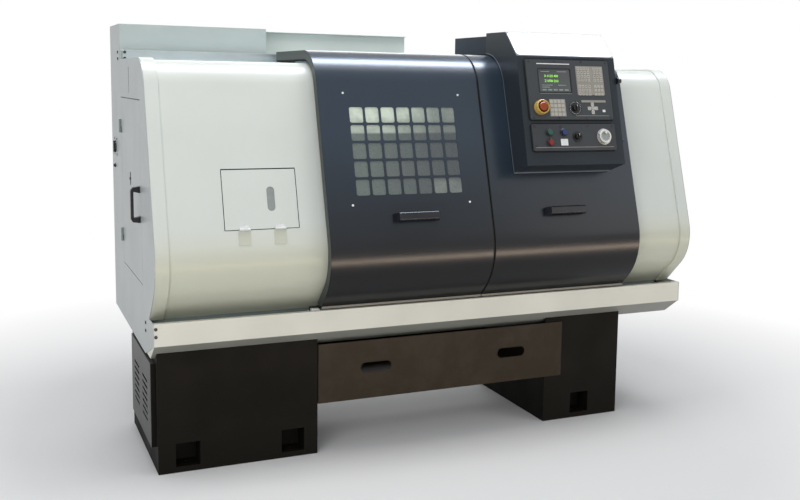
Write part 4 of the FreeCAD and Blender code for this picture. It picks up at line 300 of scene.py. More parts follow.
@dataclass(frozen=True)
class CastPaint(Finish):
    """Painted casting: a rolling, slightly rough skin."""

    roughness: float = 0.45
    grain: float = 0.35

    def build(self, nodes: Nodes) -> None:
        """Mixes two grains of casting skin below the paint."""
        place = nodes.place()
        cloud = nodes.spread(nodes.noise(place, 6.0, 5.0), 0.0, 1.0)
        base = nodes.blend(cloud, scaled(self.colour(), 0.88), scaled(self.colour(), 1.12))
        scuffs = nodes.spread(nodes.noise(place, 38.0, 8.0), 0.0, 0.35, 0.62, 0.8)
        nodes.feed("Base Color", nodes.blend(scuffs, base, scaled(self.colour(), 1.9)))
        nodes.feed("Roughness", nodes.spread(cloud, self.roughness * 0.8, self.roughness * 1.2, 0.0, 1.0))
        nodes.relief(nodes.noise(place, 160.0, 5.0), self.grain, 0.0008)


@dataclass(frozen=True)
class Metal(Finish):
    """Ground, turned or plated metal with fine scratches along one axis."""

    roughness: float = 0.28
    stretch: tuple[float, float, float] = (6.0, 260.0, 260.0)
    scratch: float = 0.10

    def build(self, nodes: Nodes) -> None:
        """Runs the scratches along the stretched axis."""
        lines = nodes.noise(nodes.place(self.stretch), 1.0, 4.0)
        cloud = nodes.spread(nodes.noise(nodes.place(), 20.0, 3.0), 0.0, 1.0)
        nodes.feed("Base Color", nodes.blend(cloud, scaled(self.colour(), 0.9), self.colour()))
        nodes.feed("Metallic", 1.0)
        nodes.feed("Roughness", nodes.spread(lines, self.roughness * 0.7, self.roughness * 1.4))
        nodes.relief(lines, self.scratch, 0.0003)


@dataclass(frozen=True)
class Moulded(Finish):
    """Moulded plastic or rubber with a fine texture."""

    roughness: float = 0.4
    grain: float = 0.2
    glow: float = 0.0

    def build(self, nodes: Nodes) -> None:
        """Adds the spark-eroded grain and, for lit pieces, their glow."""
        place = nodes.place()
        cloud = nodes.spread(nodes.noise(place, 30.0, 3.0), 0.0, 1.0)
        nodes.feed("Base Color", nodes.blend(cloud, scaled(self.colour(), 0.92), scaled(self.colour(), 1.06)))
        nodes.feed("Roughness", nodes.spread(cloud, self.roughness * 0.85, self.roughness * 1.15, 0.0, 1.0))
        nodes.relief(nodes.noise(place, 900.0, 2.0), self.grain, 0.0002)
        if self.glow:
            nodes.feed("Emission Color", self.colour())
            nodes.feed("Emission Strength", self.glow)


@dataclass(frozen=True)
class PaneWithPaintedReflection(Finish):
    """Clear safety pane with painted reflection: bright bands and patches mixed into its colour, strongest
    towards one corner.
    """

    # Colour of the painted reflection.
    bright: str = "CFDAC9"
    far_colour: str = "474D51"
    low: Vector = field(default_factory=Vector)
    high: Vector = field(default_factory=Vector)

    def rises(self, nodes: Nodes, value: bpy.types.NodeSocket, axis: str, steps: Sequence[float],
              ends: tuple[float, float]) -> bpy.types.NodeSocket:
        """Returns a value that goes from one end to the other between two shares of the pane's side."""
        low, high = getattr(self.low, axis), getattr(self.high, axis)
        return nodes.spread(value, ends[0], ends[1], *(low + share * (high - low) for share in steps))

    def build(self, nodes: Nodes) -> None:
        """Blends the clear pane, darker to the right, with its painted reflection: bright at the upper left,
        thin at the lower right.
        """
        place = nodes.place()
        along, upward = nodes.axis(place, "X"), nodes.axis(place, "Z")
        base = nodes.blend(self.rises(nodes, along, "x", (0.15, 0.9), (0.0, 1.0)), self.colour(),
                           from_srgb(self.far_colour))
        # Painted reflection: bright bands across the upper pane and a patch near the lower right corner.
        reflection_bands = nodes.combine("ADD", self.rises(nodes, upward, "z", (0.67, 0.69), (0.0, 0.55)),
                             self.rises(nodes, upward, "z", (0.77, 0.84), (0.0, 0.4)))
        film = nodes.combine("MULTIPLY", reflection_bands, self.rises(nodes, along, "x", (0.36, 0.78), (1.0, 0.3)))
        corner = nodes.combine("MULTIPLY", self.rises(nodes, along, "x", (0.68, 0.72), (0.0, 0.18)),
                               self.rises(nodes, upward, "z", (0.16, 0.24), (1.0, 0.0)))
        cloudy = nodes.spread(nodes.noise(place, 22.0, 7.0), 0.75, 1.25)
        share = nodes.combine("MULTIPLY", nodes.combine("MAXIMUM", film, corner), cloudy)
        nodes.feed("Base Color", nodes.blend(share, base, from_srgb(self.bright)))
        nodes.feed("Roughness", nodes.spread(nodes.noise(place, 40.0, 5.0), 0.2, 0.34))
        nodes.feed("IOR", 1.5)


class Shop:
    """All finishes of the machine, by what they cover."""

    # Cream low down on the covers: painted shade.
    cover = Enamel("white_enamel", "white_enamel", "D6DAD4", roughness=0.34, coat=0.03, low_painted_shade="D1D1BC",
                   mottle=0.02, gloss=0.18)
    leaf = Enamel("hinge_leaf", "cream_enamel", "C6C8B8", roughness=0.4, coat=0.0, gloss=0.2)
    hood = Enamel("hood_white", "white_enamel", "E6E9E7", roughness=0.3, coat=0.2, mottle=0.01)
    # Dark brown low down on the doors: painted shade.
    door = Enamel("graphite_enamel", "graphite_enamel", "2D3945", roughness=0.24, coat=0.0, peel=0.03,
                  low_painted_shade="100C0A", mottle=0.03, gloss=0.3, tint_top=1.35)
    # A lighter grey copy of the door's graphite paint: painted light on the side flanges.
    flange = Enamel("door_flange_lit_grey", "graphite_enamel", "3C423F", roughness=0.4, coat=0.0, gloss=0.3)
    foot = Enamel("foot_bar", "sill_grey", "77756C", roughness=0.4, coat=0.0, gloss=0.3)
    pedestal = CastPaint("charcoal_enamel", "charcoal_enamel", "100F0C", roughness=0.6, gloss=0.07)
    # Grey: a lighter copy of the charcoal pedestal paint, painted light on the vent cover's lit side; its
    # front flank keeps the charcoal.
    vent = Enamel("vent_grey", "vent_grey", "464645", roughness=0.45, coat=0.0, gloss=0.25)
    # The pan's faces that point down carry painted shade.
    pan = Enamel("cream_enamel", "cream_enamel", "DAD9CD", roughness=0.36, coat=0.0, dust=0.03, under=0.6,
                 gloss=0.3)
    plate = Enamel("plate_grey", "plate_grey", "A4AAAA", roughness=0.42, coat=0.1)
    guard = Enamel("guard_grey", "plate_grey", "C9D2CD", roughness=0.42, coat=0.0, gloss=0.3)
    cabinet = Enamel("cabinet_grey", "plate_grey", "AEB7B3", roughness=0.42, coat=0.0, gloss=0.3)
    sill = Enamel("sill_grey", "sill_grey", "727E7C", roughness=0.45, coat=0.0, dust=0.2)
    sight = Moulded("sight_pane", "white_enamel", "8E9491", roughness=0.25, grain=0.0)
    rail = Metal("rail_aluminium", "plate_grey", "A7AFAE", roughness=0.4, stretch=(3.0, 300.0, 300.0))
    tray = Enamel("tray_brown", "tray_brown", "2B2318", roughness=0.5, coat=0.0, dust=0.04, gloss=0.12)
    wheel = Metal("wheel_satin", "hard_steel", "B4B4B0", roughness=0.5, stretch=(40.0, 40.0, 40.0),
                  scratch=0.02)
    casting = CastPaint("cast_grey", "cast_grey", "8F9798", roughness=0.5)
    ground = Metal("ground_steel", "ground_steel", "BFC1C3", roughness=0.25)
    hard = Metal("hard_steel", "hard_steel", "C9CACC", roughness=0.16, stretch=(200.0, 20.0, 20.0))
    screw = Metal("screw_steel", "hard_steel", "D8D9DA", roughness=0.3, stretch=(60.0, 60.0, 60.0))
    motor = CastPaint("motor_blue", "motor_blue", "46545E", roughness=0.4)
    servo = Enamel("servo_black", "servo_black", "26272A", roughness=0.35)
    belt = Moulded("belt_rubber", "belt_rubber", "1A1A1A", roughness=0.75, grain=0.4)
    seal = Moulded("seal_rubber", "belt_rubber", "161817", roughness=0.7, grain=0.4, gloss=0.2)
    # A lighter copy of the console's slate paint: painted highlight on the housing's rims.
    rim = Enamel("console_rim_highlight", "console_slate", "5C646C", roughness=0.3, coat=0.0, gloss=0.4)
    # A darker, bluer copy of the console's slate paint: painted shade on the arm.
    arm = Enamel("arm_shaded_slate", "console_slate", "1F2C38", roughness=0.42, coat=0.0, gloss=0.08)
    console = Enamel("console_slate", "console_slate", "282F35", roughness=0.34, coat=0.0, gloss=0.14)
    bezel = Enamel("panel_grey", "panel_grey", "3D4144", roughness=0.42, coat=0.0, gloss=0.2)
    film = Moulded("key_film", "key_pale", "8E8A81", roughness=0.5, grain=0.15)
    key = Moulded("key_pale", "key_pale", "ABA79D", roughness=0.45, grain=0.15)
    legend = Moulded("key_legend", "knob_black", "3A3B3C", roughness=0.6)
    white_mark = Moulded("white_mark", "key_pale", "E6E8E6", roughness=0.5)
    switch_panel = Enamel("switch_panel_black", "switch_panel_black", "3A3D40", roughness=0.42, coat=0.0,
                          gloss=0.2)
    screen = Moulded("screen_dark", "screen_dark", "20282A", roughness=0.12, grain=0.0)
    digit = Moulded("screen_digit", "screen_dark", "8FE04A", roughness=0.3, glow=0.9)
    dim_digit = Moulded("screen_dim_digit", "screen_dark", "6F7F78", roughness=0.3, glow=0.25)
    red = Moulded("stop_red", "stop_red", "8C3A12", roughness=0.4, grain=0.05, gloss=0.25)
    amber = Moulded("stop_yellow", "stop_red", "C2A050", roughness=0.4, grain=0.05, gloss=0.3)
    lamp_green = Moulded("button_green", "button_green", "225347", roughness=0.3, grain=0.0, gloss=0.25)
    lamp_red = Moulded("button_red", "button_red", "7A2420", roughness=0.3, grain=0.0, gloss=0.25)
    lamp_blue = Moulded("button_blue", "button_blue", "1F3768", roughness=0.3, grain=0.0, gloss=0.25)
    knob = Moulded("knob_black", "knob_black", "111112", roughness=0.42, gloss=0.3)
    grip = Moulded("grip_black", "knob_black", "15161E", roughness=0.3, grain=0.15, gloss=0.35)


# ---------------------------------------------------------------------------------- places on the machine
@dataclass(frozen=True)
class Facing:
    """A flat surface for laying out trims, in metres: right, up and outwards are unit vectors."""

    origin: Vector
    right: Vector
    up: Vector

    @property
    def out(self) -> Vector:
        """Returns the outward normal."""
        return self.right.cross(self.up)

    def at(self, u: float, v: float, w: float = 0.0) -> Vector:
        """Returns the point u right, v up and w outwards, in millimetres."""
        return self.origin + (self.right * u + self.up * v + self.out * w) * MM

    def matrix(self, u: float = 0.0, v: float = 0.0, w: float = 0.0) -> Matrix:
        """Returns the placement of a piece modelled in millimetres on the XY plane.

        Args:
            u: millimetres to the right.
            v: millimetres up the surface.
            w: millimetres outwards.

        Returns:
            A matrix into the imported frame.
        """
        axes = Matrix((self.right, self.up, self.out)).transposed().to_4x4()
        return Matrix.Translation(self.at(u, v, w)) @ axes @ Matrix.Scale(MM, 4)


@dataclass(frozen=True)
class Datum:
    """The machine frame, found from the chip pan's box."""

    origin: Vector
    plate: float = 3.0

    @classmethod
    def find(cls) -> "Datum":
        """Returns the datum: the pan starts one plate's thickness right of it."""
        low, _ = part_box("chip_pan")
        return cls(Vector((low.x - cls.plate * MM, low.y, 0.0)))

    def at(self, x: float, y: float, z: float) -> Vector:
        """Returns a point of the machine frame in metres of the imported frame."""
        return self.origin + Vector((x, y, z)) * MM

    def front(self, x: float, y: float, z: float) -> Facing:
        """Returns a surface that faces the operator."""
        return Facing(self.at(x, y, z), Vector((1, 0, 0)), Vector((0, 0, 1)))

    def back(self, x: float, y: float, z: float) -> Facing:
        """Returns a surface that faces the rear."""
        return Facing(self.at(x, y, z), Vector((-1, 0, 0)), Vector((0, 0, 1)))

    def left(self, x: float, y: float, z: float) -> Facing:
        """Returns a surface that faces the left end."""
        return Facing(self.at(x, y, z), Vector((0, -1, 0)), Vector((0, 0, 1)))

    def end(self, x: float, y: float, z: float) -> Facing:
        """Returns a surface that faces the right end."""
        return Facing(self.at(x, y, z), Vector((0, 1, 0)), Vector((0, 0, 1)))

    def top(self, x: float, y: float, z: float) -> Facing:
        """Returns a surface that faces upwards."""
        return Facing(self.at(x, y, z), Vector((1, 0, 0)), Vector((0, 1, 0)))


@dataclass(frozen=True)
class CoverOutline:
    """Section of the curved covers in (Y, Z): roof, shoulder, sloping front, bulge and undercut."""

    top_z: float = 1650.0
    shoulder_y: float = 172.0
    bulge: Point2 = (-83.0, 816.0)
    undercut: float = 204.0 / 210.0
    shoulder_r: float = 126.0
    bulge_r: float = 193.0
    arc_steps: int = 20

    def corners(self, offset: float, rear_y: float, foot_z: float) -> list[Point2]:
        """Returns the unrounded corners of the outline at an outward offset."""
        lines = []
        under = (self.bulge[0] + 100.0, self.bulge[1] - 100.0 * self.undercut)
        chain = [(rear_y, self.top_z), (self.shoulder_y, self.top_z), self.bulge, under]
        for (ay, az), (by, bz) in zip(chain, chain[1:]):
            length = math.hypot(by - ay, bz - az)
            dy, dz = (by - ay) / length, (bz - az) / length
            lines.append((ay + offset * dz, az - offset * dy, dy, dz))
        shoulder = self.crossing(lines[0], lines[1])
        bulge = self.crossing(lines[1], lines[2])
        y, z, dy, dz = lines[2]
        return [(rear_y, self.top_z + offset), shoulder, bulge, (y + dy * (foot_z - z) / dz, foot_z)]

    @staticmethod
    def crossing(first: tuple, second: tuple) -> Point2:
        """Returns the point where two lines (y, z, dy, dz) meet."""
        ay, az, ady, adz = first
        by, bz, bdy, bdz = second
        step = ((by - ay) * bdz - (bz - az) * bdy) / (ady * bdz - adz * bdy)
        return (ay + ady * step, az + adz * step)

    def points(self, offset: float, rear_y: float, foot_z: float) -> list[Point2]:
        """Returns the rounded outline at an outward offset, from the roof's rear end to the foot."""
        corners = [Vector(c) for c in self.corners(offset, rear_y, foot_z)]
        chain = [corners[0]]
        for index, radius in ((1, self.shoulder_r + offset), (2, self.bulge_r + offset)):
            corner = corners[index]
            back = (corners[index - 1] - corner).normalized()
            ahead = (corners[index + 1] - corner).normalized()
            half = back.angle(ahead) / 2
            centre = corner + (back + ahead).normalized() * (radius / math.sin(half))
            start = corner + back * (radius / math.tan(half)) - centre
            stop = corner + ahead * (radius / math.tan(half)) - centre
            sweep = start.angle_signed(stop)
            for step in range(self.arc_steps + 1):
                turn = Matrix.Rotation(-sweep * step / self.arc_steps, 2)
                chain.append(centre + turn @ start)
        chain.append(corners[3])
        return [(p.x, p.y) for p in chain]

    def slope(self, datum: Datum, x: float, z: float, offset: float) -> Facing:
        """Returns the sloping front's surface at a station and height."""
        _, (y1, z1), (y2, z2), _ = self.corners(offset, 700.0, 640.0)
        y = y1 + (z1 - z) / (z1 - z2) * (y2 - y1)
        up = Vector((0, y1 - y2, z1 - z2)).normalized()
        return Facing(datum.at(x, y, z), Vector((1, 0, 0)), up)


# ------------------------------------------------------------------------------------- shaping pieces
def linked(name: str, data: bpy.types.ID) -> bpy.types.Object:
    """Returns a new object that shows some data, linked to the scene."""
    piece = bpy.data.objects.new(name, data)
    bpy.context.scene.collection.objects.link(piece)
    return piece


def shown_mesh(piece: bpy.types.Object) -> bpy.types.Mesh:
    """Returns a new mesh of what an object shows, modifiers included."""
    bpy.context.view_layer.update()
    return bpy.data.meshes.new_from_object(piece.evaluated_get(bpy.context.evaluated_depsgraph_get()))


def bake(piece: bpy.types.Object, modifier: bpy.types.Modifier) -> None:
    """Keeps a modifier's result as the piece's own mesh."""
    data = shown_mesh(piece)
    piece.modifiers.remove(modifier)
    piece.data = data


def rounded_corners(width: float, height: float, radius: float, reach: float, steps: int) -> list[Point2]:
    """Returns the four corner arcs of a rounded rectangle in (u, v), anticlockwise.

    Args:
        width: width of the rectangle.
        height: height of the rectangle.
        radius: distance of the arcs' centres from its sides.
        reach: radius of the arcs themselves.
        steps: straight parts in each arc.

    Returns:
        The outline's points.
    """
    outline = []
    for cx, cy, start in ((1, -1, 270), (1, 1, 0), (-1, 1, 90), (-1, -1, 180)):
        for step in range(steps + 1):
            angle = math.radians(start + 90 * step / steps)
            outline.append((cx * (width / 2 - radius) + reach * math.cos(angle),
                            cy * (height / 2 - radius) + reach * math.sin(angle)))
    return outline


class Solid:
    """Collects closed shapes, modelled in millimetres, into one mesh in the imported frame."""

    def __init__(self) -> None:
        """Starts with an empty mesh."""
        self.mesh = bmesh.new()

    def prism(self, matrix: Matrix, outline: Sequence[Point2], depth: float) -> "Solid":
        """Adds a prism over a closed outline, growing outwards.

        Args:
            matrix: where the outline's plane lies.
            outline: (u, v) points, anticlockwise.
            depth: height along the normal.

        Returns:
            This solid.
        """
        low = [self.mesh.verts.new(matrix @ Vector((u, v, 0))) for u, v in outline]
        high = [self.mesh.verts.new(matrix @ Vector((u, v, depth))) for u, v in outline]
        self.mesh.faces.new(list(reversed(low)))
        self.mesh.faces.new(high)
        for i in range(len(outline)):
            j = (i + 1) % len(outline)
            self.mesh.faces.new((low[i], low[j], high[j], high[i]))
        return self

    def plate(self, matrix: Matrix, width: float, height: float, depth: float, radius: float = 0.0,
              steps: int = 5) -> "Solid":
        """Adds a rectangular plate, centred, with rounded corners where a radius is given."""
        if radius <= 0:
            w, h = width / 2, height / 2
            return self.prism(matrix, [(-w, -h), (w, -h), (w, h), (-w, h)], depth)
        return self.prism(matrix, rounded_corners(width, height, radius, radius, steps), depth)

    def turned(self, matrix: Matrix, profile: Sequence[Point2], sides: int = 40) -> "Solid":
        """Adds a turned piece from (radius, height) points, bottom centre to top centre."""
        rings = []
        for radius, height in profile:
            if radius == 0:
                rings.append([self.mesh.verts.new(matrix @ Vector((0, 0, height)))])
                continue
            turn = [2 * math.pi * k / sides for k in range(sides)]
            ring = [Vector((radius * math.cos(a), radius * math.sin(a), height)) for a in turn]
            rings.append([self.mesh.verts.new(matrix @ point) for point in ring])
        for low, high in zip(rings, rings[1:]):
            for k in range(sides):
                n = (k + 1) % sides
                corners = [low[k % len(low)], low[n % len(low)], high[n % len(high)], high[k % len(high)]]
                self.mesh.faces.new(list(dict.fromkeys(corners)))
        if len(rings[0]) > 1 and len(rings[-1]) > 1:
            for k in range(sides):
                n = (k + 1) % sides
                self.mesh.faces.new((rings[-1][k], rings[-1][n], rings[0][n], rings[0][k]))
        return self

    def prism_between(self, matrix: Matrix, inner: Sequence[Point2], outer: Sequence[Point2],
                      depth: float) -> "Solid":
        """Adds the quad-built band between two chains of equal length in (u, v), closed at its ends."""
        layers = []
        for w in (0.0, depth):
            layers.append([[self.mesh.verts.new(matrix @ Vector((u, v, w))) for u, v in chain]
                           for chain in (inner, outer)])
        (low_in, low_out), (high_in, high_out) = layers
        last = len(inner) - 1
        for i in range(last):
            self.mesh.faces.new((high_in[i], high_in[i + 1], high_out[i + 1], high_out[i]))
            self.mesh.faces.new((low_in[i], low_out[i], low_out[i + 1], low_in[i + 1]))
            self.mesh.faces.new((low_in[i], low_in[i + 1], high_in[i + 1], high_in[i]))
            self.mesh.faces.new((low_out[i], high_out[i], high_out[i + 1], low_out[i + 1]))
        for i in (0, last):
            self.mesh.faces.new((low_in[i], high_in[i], high_out[i], low_out[i]))
        return self

    def rim(self, matrix: Matrix, width: float, height: float, radius: float, wall: float,
            depth: float) -> "Solid":
        """Adds a raised rim round a rounded rectangle."""
        chains = []
        for reach in (radius, radius + wall):
            chain = rounded_corners(width, height, radius, reach, 6)
            chains.append(chain + chain[:1])
        return self.prism_between(matrix, chains[0], chains[1], depth)

    def tube(self, path: Sequence[Vector], radius: float, sides: int = 16) -> "Solid":
        """Adds a round bar along points in metres, radius in millimetres, with flat ends."""
        rings = []
        for i, point in enumerate(path):
            ahead = path[min(i + 1, len(path) - 1)] - path[max(i - 1, 0)]
            turn = ahead.to_track_quat("Z", "Y").to_matrix()
            rings.append([self.mesh.verts.new(point + turn @ Vector((math.cos(2 * math.pi * k / sides),
                                                                     math.sin(2 * math.pi * k / sides), 0))
                                              * radius * MM) for k in range(sides)])
        for low, high in zip(rings, rings[1:]):
            for k in range(sides):
                n = (k + 1) % sides
                self.mesh.faces.new((low[k], low[n], high[n], high[k]))
        self.mesh.faces.new(list(reversed(rings[0])))
        self.mesh.faces.new(rings[-1])
        return self

    def finish(self, name: str, body: Body, finish: Finish, edge: float = 0.0) -> bpy.types.Object:
        """Turns what was collected into a finished piece.

        Args:
            name: the piece's name.
            body: the body it rides on.
            finish: its surface.
            edge: width of its rounded edges in millimetres.

        Returns:
            The piece.
        """
        bmesh.ops.recalc_face_normals(self.mesh, faces=self.mesh.faces)
        data = bpy.data.meshes.new(name)
        self.mesh.to_mesh(data)
        self.mesh.free()
        piece = linked(name, data)
        if edge:
            round_edges(piece, edge)
        return settle(piece, body, finish)


def round_edges(piece: bpy.types.Object, width: float, segments: int = 2) -> None:
    """Gives a piece small rounded edges and keeps them in its mesh.

    Args:
        piece: the piece, linked to the scene.
        width: bevel width in millimetres.
        segments: faces across each edge.
    """
    bevel = piece.modifiers.new("edges", "BEVEL")
    bevel.width = width * MM
    bevel.segments = segments
    bevel.limit_method = "ANGLE"
    bevel.angle_limit = SMOOTH_ANGLE
    bevel.harden_normals = False
    bake(piece, bevel)


def keep_flats(piece: bpy.types.Object) -> None:
    """Weighs a piece's normals by face area, so that flat faces stay flat next to round ones."""
    weigh = piece.modifiers.new("flats", "WEIGHTED_NORMAL")
    weigh.mode = "FACE_AREA"
    weigh.keep_sharp = True
    weigh.weight = 90
    bake(piece, weigh)


def settle(piece: bpy.types.Object, body: Body, finish: Finish) -> bpy.types.Object:
    """Shades a piece, gives it its finish and puts it on its body."""
    piece.data.polygons.foreach_set("use_smooth", [True] * len(piece.data.polygons))
    piece.data.set_sharp_from_angle(angle=SMOOTH_ANGLE)
    keep_flats(piece)
    piece.data.materials.clear()
    piece.data.materials.append(finish.material())
    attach(piece, body.value)
    LOG.info("%s: %s, %d faces", piece.name, body.value, len(piece.data.polygons))
    return piece


def body_of_node(node: str) -> Body:
    """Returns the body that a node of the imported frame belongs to."""
    return Body(frame["nodes"][node]["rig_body"])


def recast(node: str, finish: Finish, edge: float = 0.0) -> bpy.types.Object:
    """Stands a merged, smooth-shaded copy in for a node whose round faces would show their facets.

    Args:
        node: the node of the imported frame.
        finish: its surface.
        edge: width of its rounded edges in millimetres, or none.

    Returns:
        The piece that stands for the node.
    """
    shape = bmesh.new()
    shape.from_mesh(frame["nodes"][node].data)
    bmesh.ops.remove_doubles(shape, verts=shape.verts, dist=WELD)
    bmesh.ops.dissolve_limit(shape, angle_limit=FLAT_ANGLE, verts=shape.verts, edges=shape.edges)
    data = bpy.data.meshes.new(node + "_finished")
    shape.to_mesh(data)
    shape.free()
    piece = linked(node + "_finished", data)
    if edge:
        round_edges(piece, edge)
    settle(piece, body_of_node(node), finish)
    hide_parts(node)
    return piece


def dress(node: str, finish: Finish) -> None:
    """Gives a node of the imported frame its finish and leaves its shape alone."""
    piece = frame["nodes"][node]
    piece.data.materials.clear()
    piece.data.materials.append(finish.material())
    LOG.info("%s keeps its shape", node)


# --------------------------------------------------------------------------- repeated pieces by nodes
class TreeMaker:
    """Builds one geometry node tree with named inputs."""

    def __init__(self, name: str, inputs: dict[str, str], takes_geometry: bool = False) -> None:
        """Makes the tree's sockets: inputs maps each name to Float, Int, Vector or Material."""
        self.tree = bpy.data.node_groups.new(name, "GeometryNodeTree")
        if takes_geometry:
            self.tree.interface.new_socket("Geometry", in_out="INPUT", socket_type="NodeSocketGeometry")
        for label, kind in inputs.items():
            self.tree.interface.new_socket(label, in_out="INPUT", socket_type="NodeSocket" + kind)
        self.tree.interface.new_socket("Geometry", in_out="OUTPUT", socket_type="NodeSocketGeometry")
        self.source = self.tree.nodes.new("NodeGroupInput")
        self.sink = self.tree.nodes.new("NodeGroupOutput")

    def add(self, kind: str, links: dict[str, object], **settings: object) -> bpy.types.Node:
        """Adds a node, sets its properties and feeds its inputs with sockets or constants."""
        node = self.tree.nodes.new(kind)
        for key, value in settings.items():
            setattr(node, key, value)
        for key, value in links.items():
            if isinstance(value, bpy.types.NodeSocket):
                self.tree.links.new(value, node.inputs[key])
            else:
                node.inputs[key].default_value = value
        return node

    def given(self, label: str) -> bpy.types.NodeSocket:
        """Returns one of the tree's own inputs."""
        return self.source.outputs[label]

    def close(self, geometry: bpy.types.NodeSocket) -> bpy.types.NodeTree:
        """Ends the tree in realised instances with their material."""
        real = self.add("GeometryNodeRealizeInstances", {"Geometry": geometry})
        done = self.add("GeometryNodeSetMaterial", {"Geometry": real.outputs["Geometry"],
                                                    "Material": self.given("Finish")})
        self.tree.links.new(done.outputs["Geometry"], self.sink.inputs["Geometry"])
        return self.tree


class Repeats:
    """The three node trees that make what repeats: studs, cell fields and tick rings."""

    def __init__(self) -> None:
        """Builds the trees once."""
        self.studs = self.make_studs()
        self.cells = self.make_cells()
        self.ticks = self.make_ticks()

    @staticmethod
    def make_studs() -> bpy.types.NodeTree:
        """Returns a tree that stands a short stud on each point, along its facing."""
        maker = TreeMaker("studs_on_points", {"Sides": "Int", "Radius": "Float", "Height": "Float",
                                              "Finish": "Material"}, takes_geometry=True)
        head = maker.add("GeometryNodeMeshCylinder", {"Vertices": maker.given("Sides"),
                                                      "Radius": maker.given("Radius"),
                                                      "Depth": maker.given("Height")})
        facing = maker.add("GeometryNodeInputNamedAttribute", {"Name": "facing"}, data_type="FLOAT_VECTOR")
        turn = maker.add("FunctionNodeAlignRotationToVector", {"Vector": facing.outputs["Attribute"]},
                         axis="Z")
        spread = maker.add("GeometryNodeInstanceOnPoints", {"Points": maker.given("Geometry"),
                                                            "Instance": head.outputs["Mesh"],
                                                            "Rotation": turn.outputs["Rotation"]})
        return maker.close(spread.outputs["Instances"])

    @staticmethod
    def make_cells() -> bpy.types.NodeTree:
        """Returns a tree that fills a grid with rounded cells of one size."""
        lengths = ("Span X", "Span Y", "Width", "Height", "Corner", "Depth")
        maker = TreeMaker("cells_in_rows", {"Columns": "Int", "Rows": "Int",
                                            **dict.fromkeys(lengths, "Float"), "Finish": "Material"})
        grid = maker.add("GeometryNodeMeshGrid", {"Size X": maker.given("Span X"),
                                                  "Size Y": maker.given("Span Y"),
                                                  "Vertices X": maker.given("Columns"),
                                                  "Vertices Y": maker.given("Rows")})
        outline = maker.add("GeometryNodeCurvePrimitiveQuadrilateral", {"Width": maker.given("Width"),
                                                                        "Height": maker.given("Height")})
        rounded = maker.add("GeometryNodeFilletCurve", {"Curve": outline.outputs["Curve"], "Count": 3,
                                                        "Radius": maker.given("Corner")}, mode="POLY")
        face = maker.add("GeometryNodeFillCurve", {"Curve": rounded.outputs["Curve"]}, mode="NGONS")
        raised = maker.add("GeometryNodeExtrudeMesh", {"Mesh": face.outputs["Mesh"],
                                                       "Offset Scale": maker.given("Depth")})
        under = maker.add("GeometryNodeFlipFaces", {"Mesh": face.outputs["Mesh"]})
        both = maker.add("GeometryNodeJoinGeometry", {})
        maker.tree.links.new(raised.outputs["Mesh"], both.inputs["Geometry"])
        maker.tree.links.new(under.outputs["Mesh"], both.inputs["Geometry"])
        cell = maker.add("GeometryNodeMergeByDistance", {"Geometry": both.outputs["Geometry"],
                                                         "Distance": 0.01})
        spread = maker.add("GeometryNodeInstanceOnPoints", {"Points": grid.outputs["Mesh"],
                                                            "Instance": cell.outputs["Geometry"]})
        return maker.close(spread.outputs["Instances"])

    @staticmethod
    def make_ticks() -> bpy.types.NodeTree:
        """Returns a tree that sets ticks round a circle, each pointing at its centre."""
        maker = TreeMaker("ticks_round_ring", {"Count": "Int", "Radius": "Float", "Tick": "Vector",
                                               "Finish": "Material"})
        ring = maker.add("GeometryNodeMeshCircle", {"Vertices": maker.given("Count"),
                                                    "Radius": maker.given("Radius")})
        place = maker.add("GeometryNodeInputPosition", {})
        turn = maker.add("FunctionNodeAlignRotationToVector", {"Vector": place.outputs["Position"]},
                         axis="X")
        tick = maker.add("GeometryNodeMeshCube", {"Size": maker.given("Tick")})
        spread = maker.add("GeometryNodeInstanceOnPoints", {"Points": ring.outputs["Mesh"],
                                                            "Instance": tick.outputs["Mesh"],
                                                            "Rotation": turn.outputs["Rotation"]})
        return maker.close(spread.outputs["Instances"])

    @staticmethod
    def grow(name: str, tree: bpy.types.NodeTree, values: dict[str, object], matrix: Matrix, body: Body,
             finish: Finish, points: Optional[bpy.types.Mesh] = None) -> bpy.types.Object:
        """Runs a tree once and keeps its result as a plain mesh on a body.

        Args:
            name: the piece's name.
            tree: one of the trees above.
            values: the tree's inputs by name.
            matrix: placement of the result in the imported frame.
            body: the body it rides on.
            finish: its surface.
            points: the mesh that the tree starts from, where it takes one.

        Returns:
            The piece.
        """
        piece = linked(name, points or bpy.data.meshes.new(name))
        modifier = piece.modifiers.new("repeat", "NODES")
        modifier.node_group = tree
        values = dict(values, Finish=finish.material())
        for socket in tree.interface.items_tree:
            if socket.in_out == "INPUT" and socket.name in values:
                modifier[socket.identifier] = values[socket.name]
        bake(piece, modifier)
        piece.data.transform(matrix)
        piece.data.name = name
        return settle(piece, body, finish)


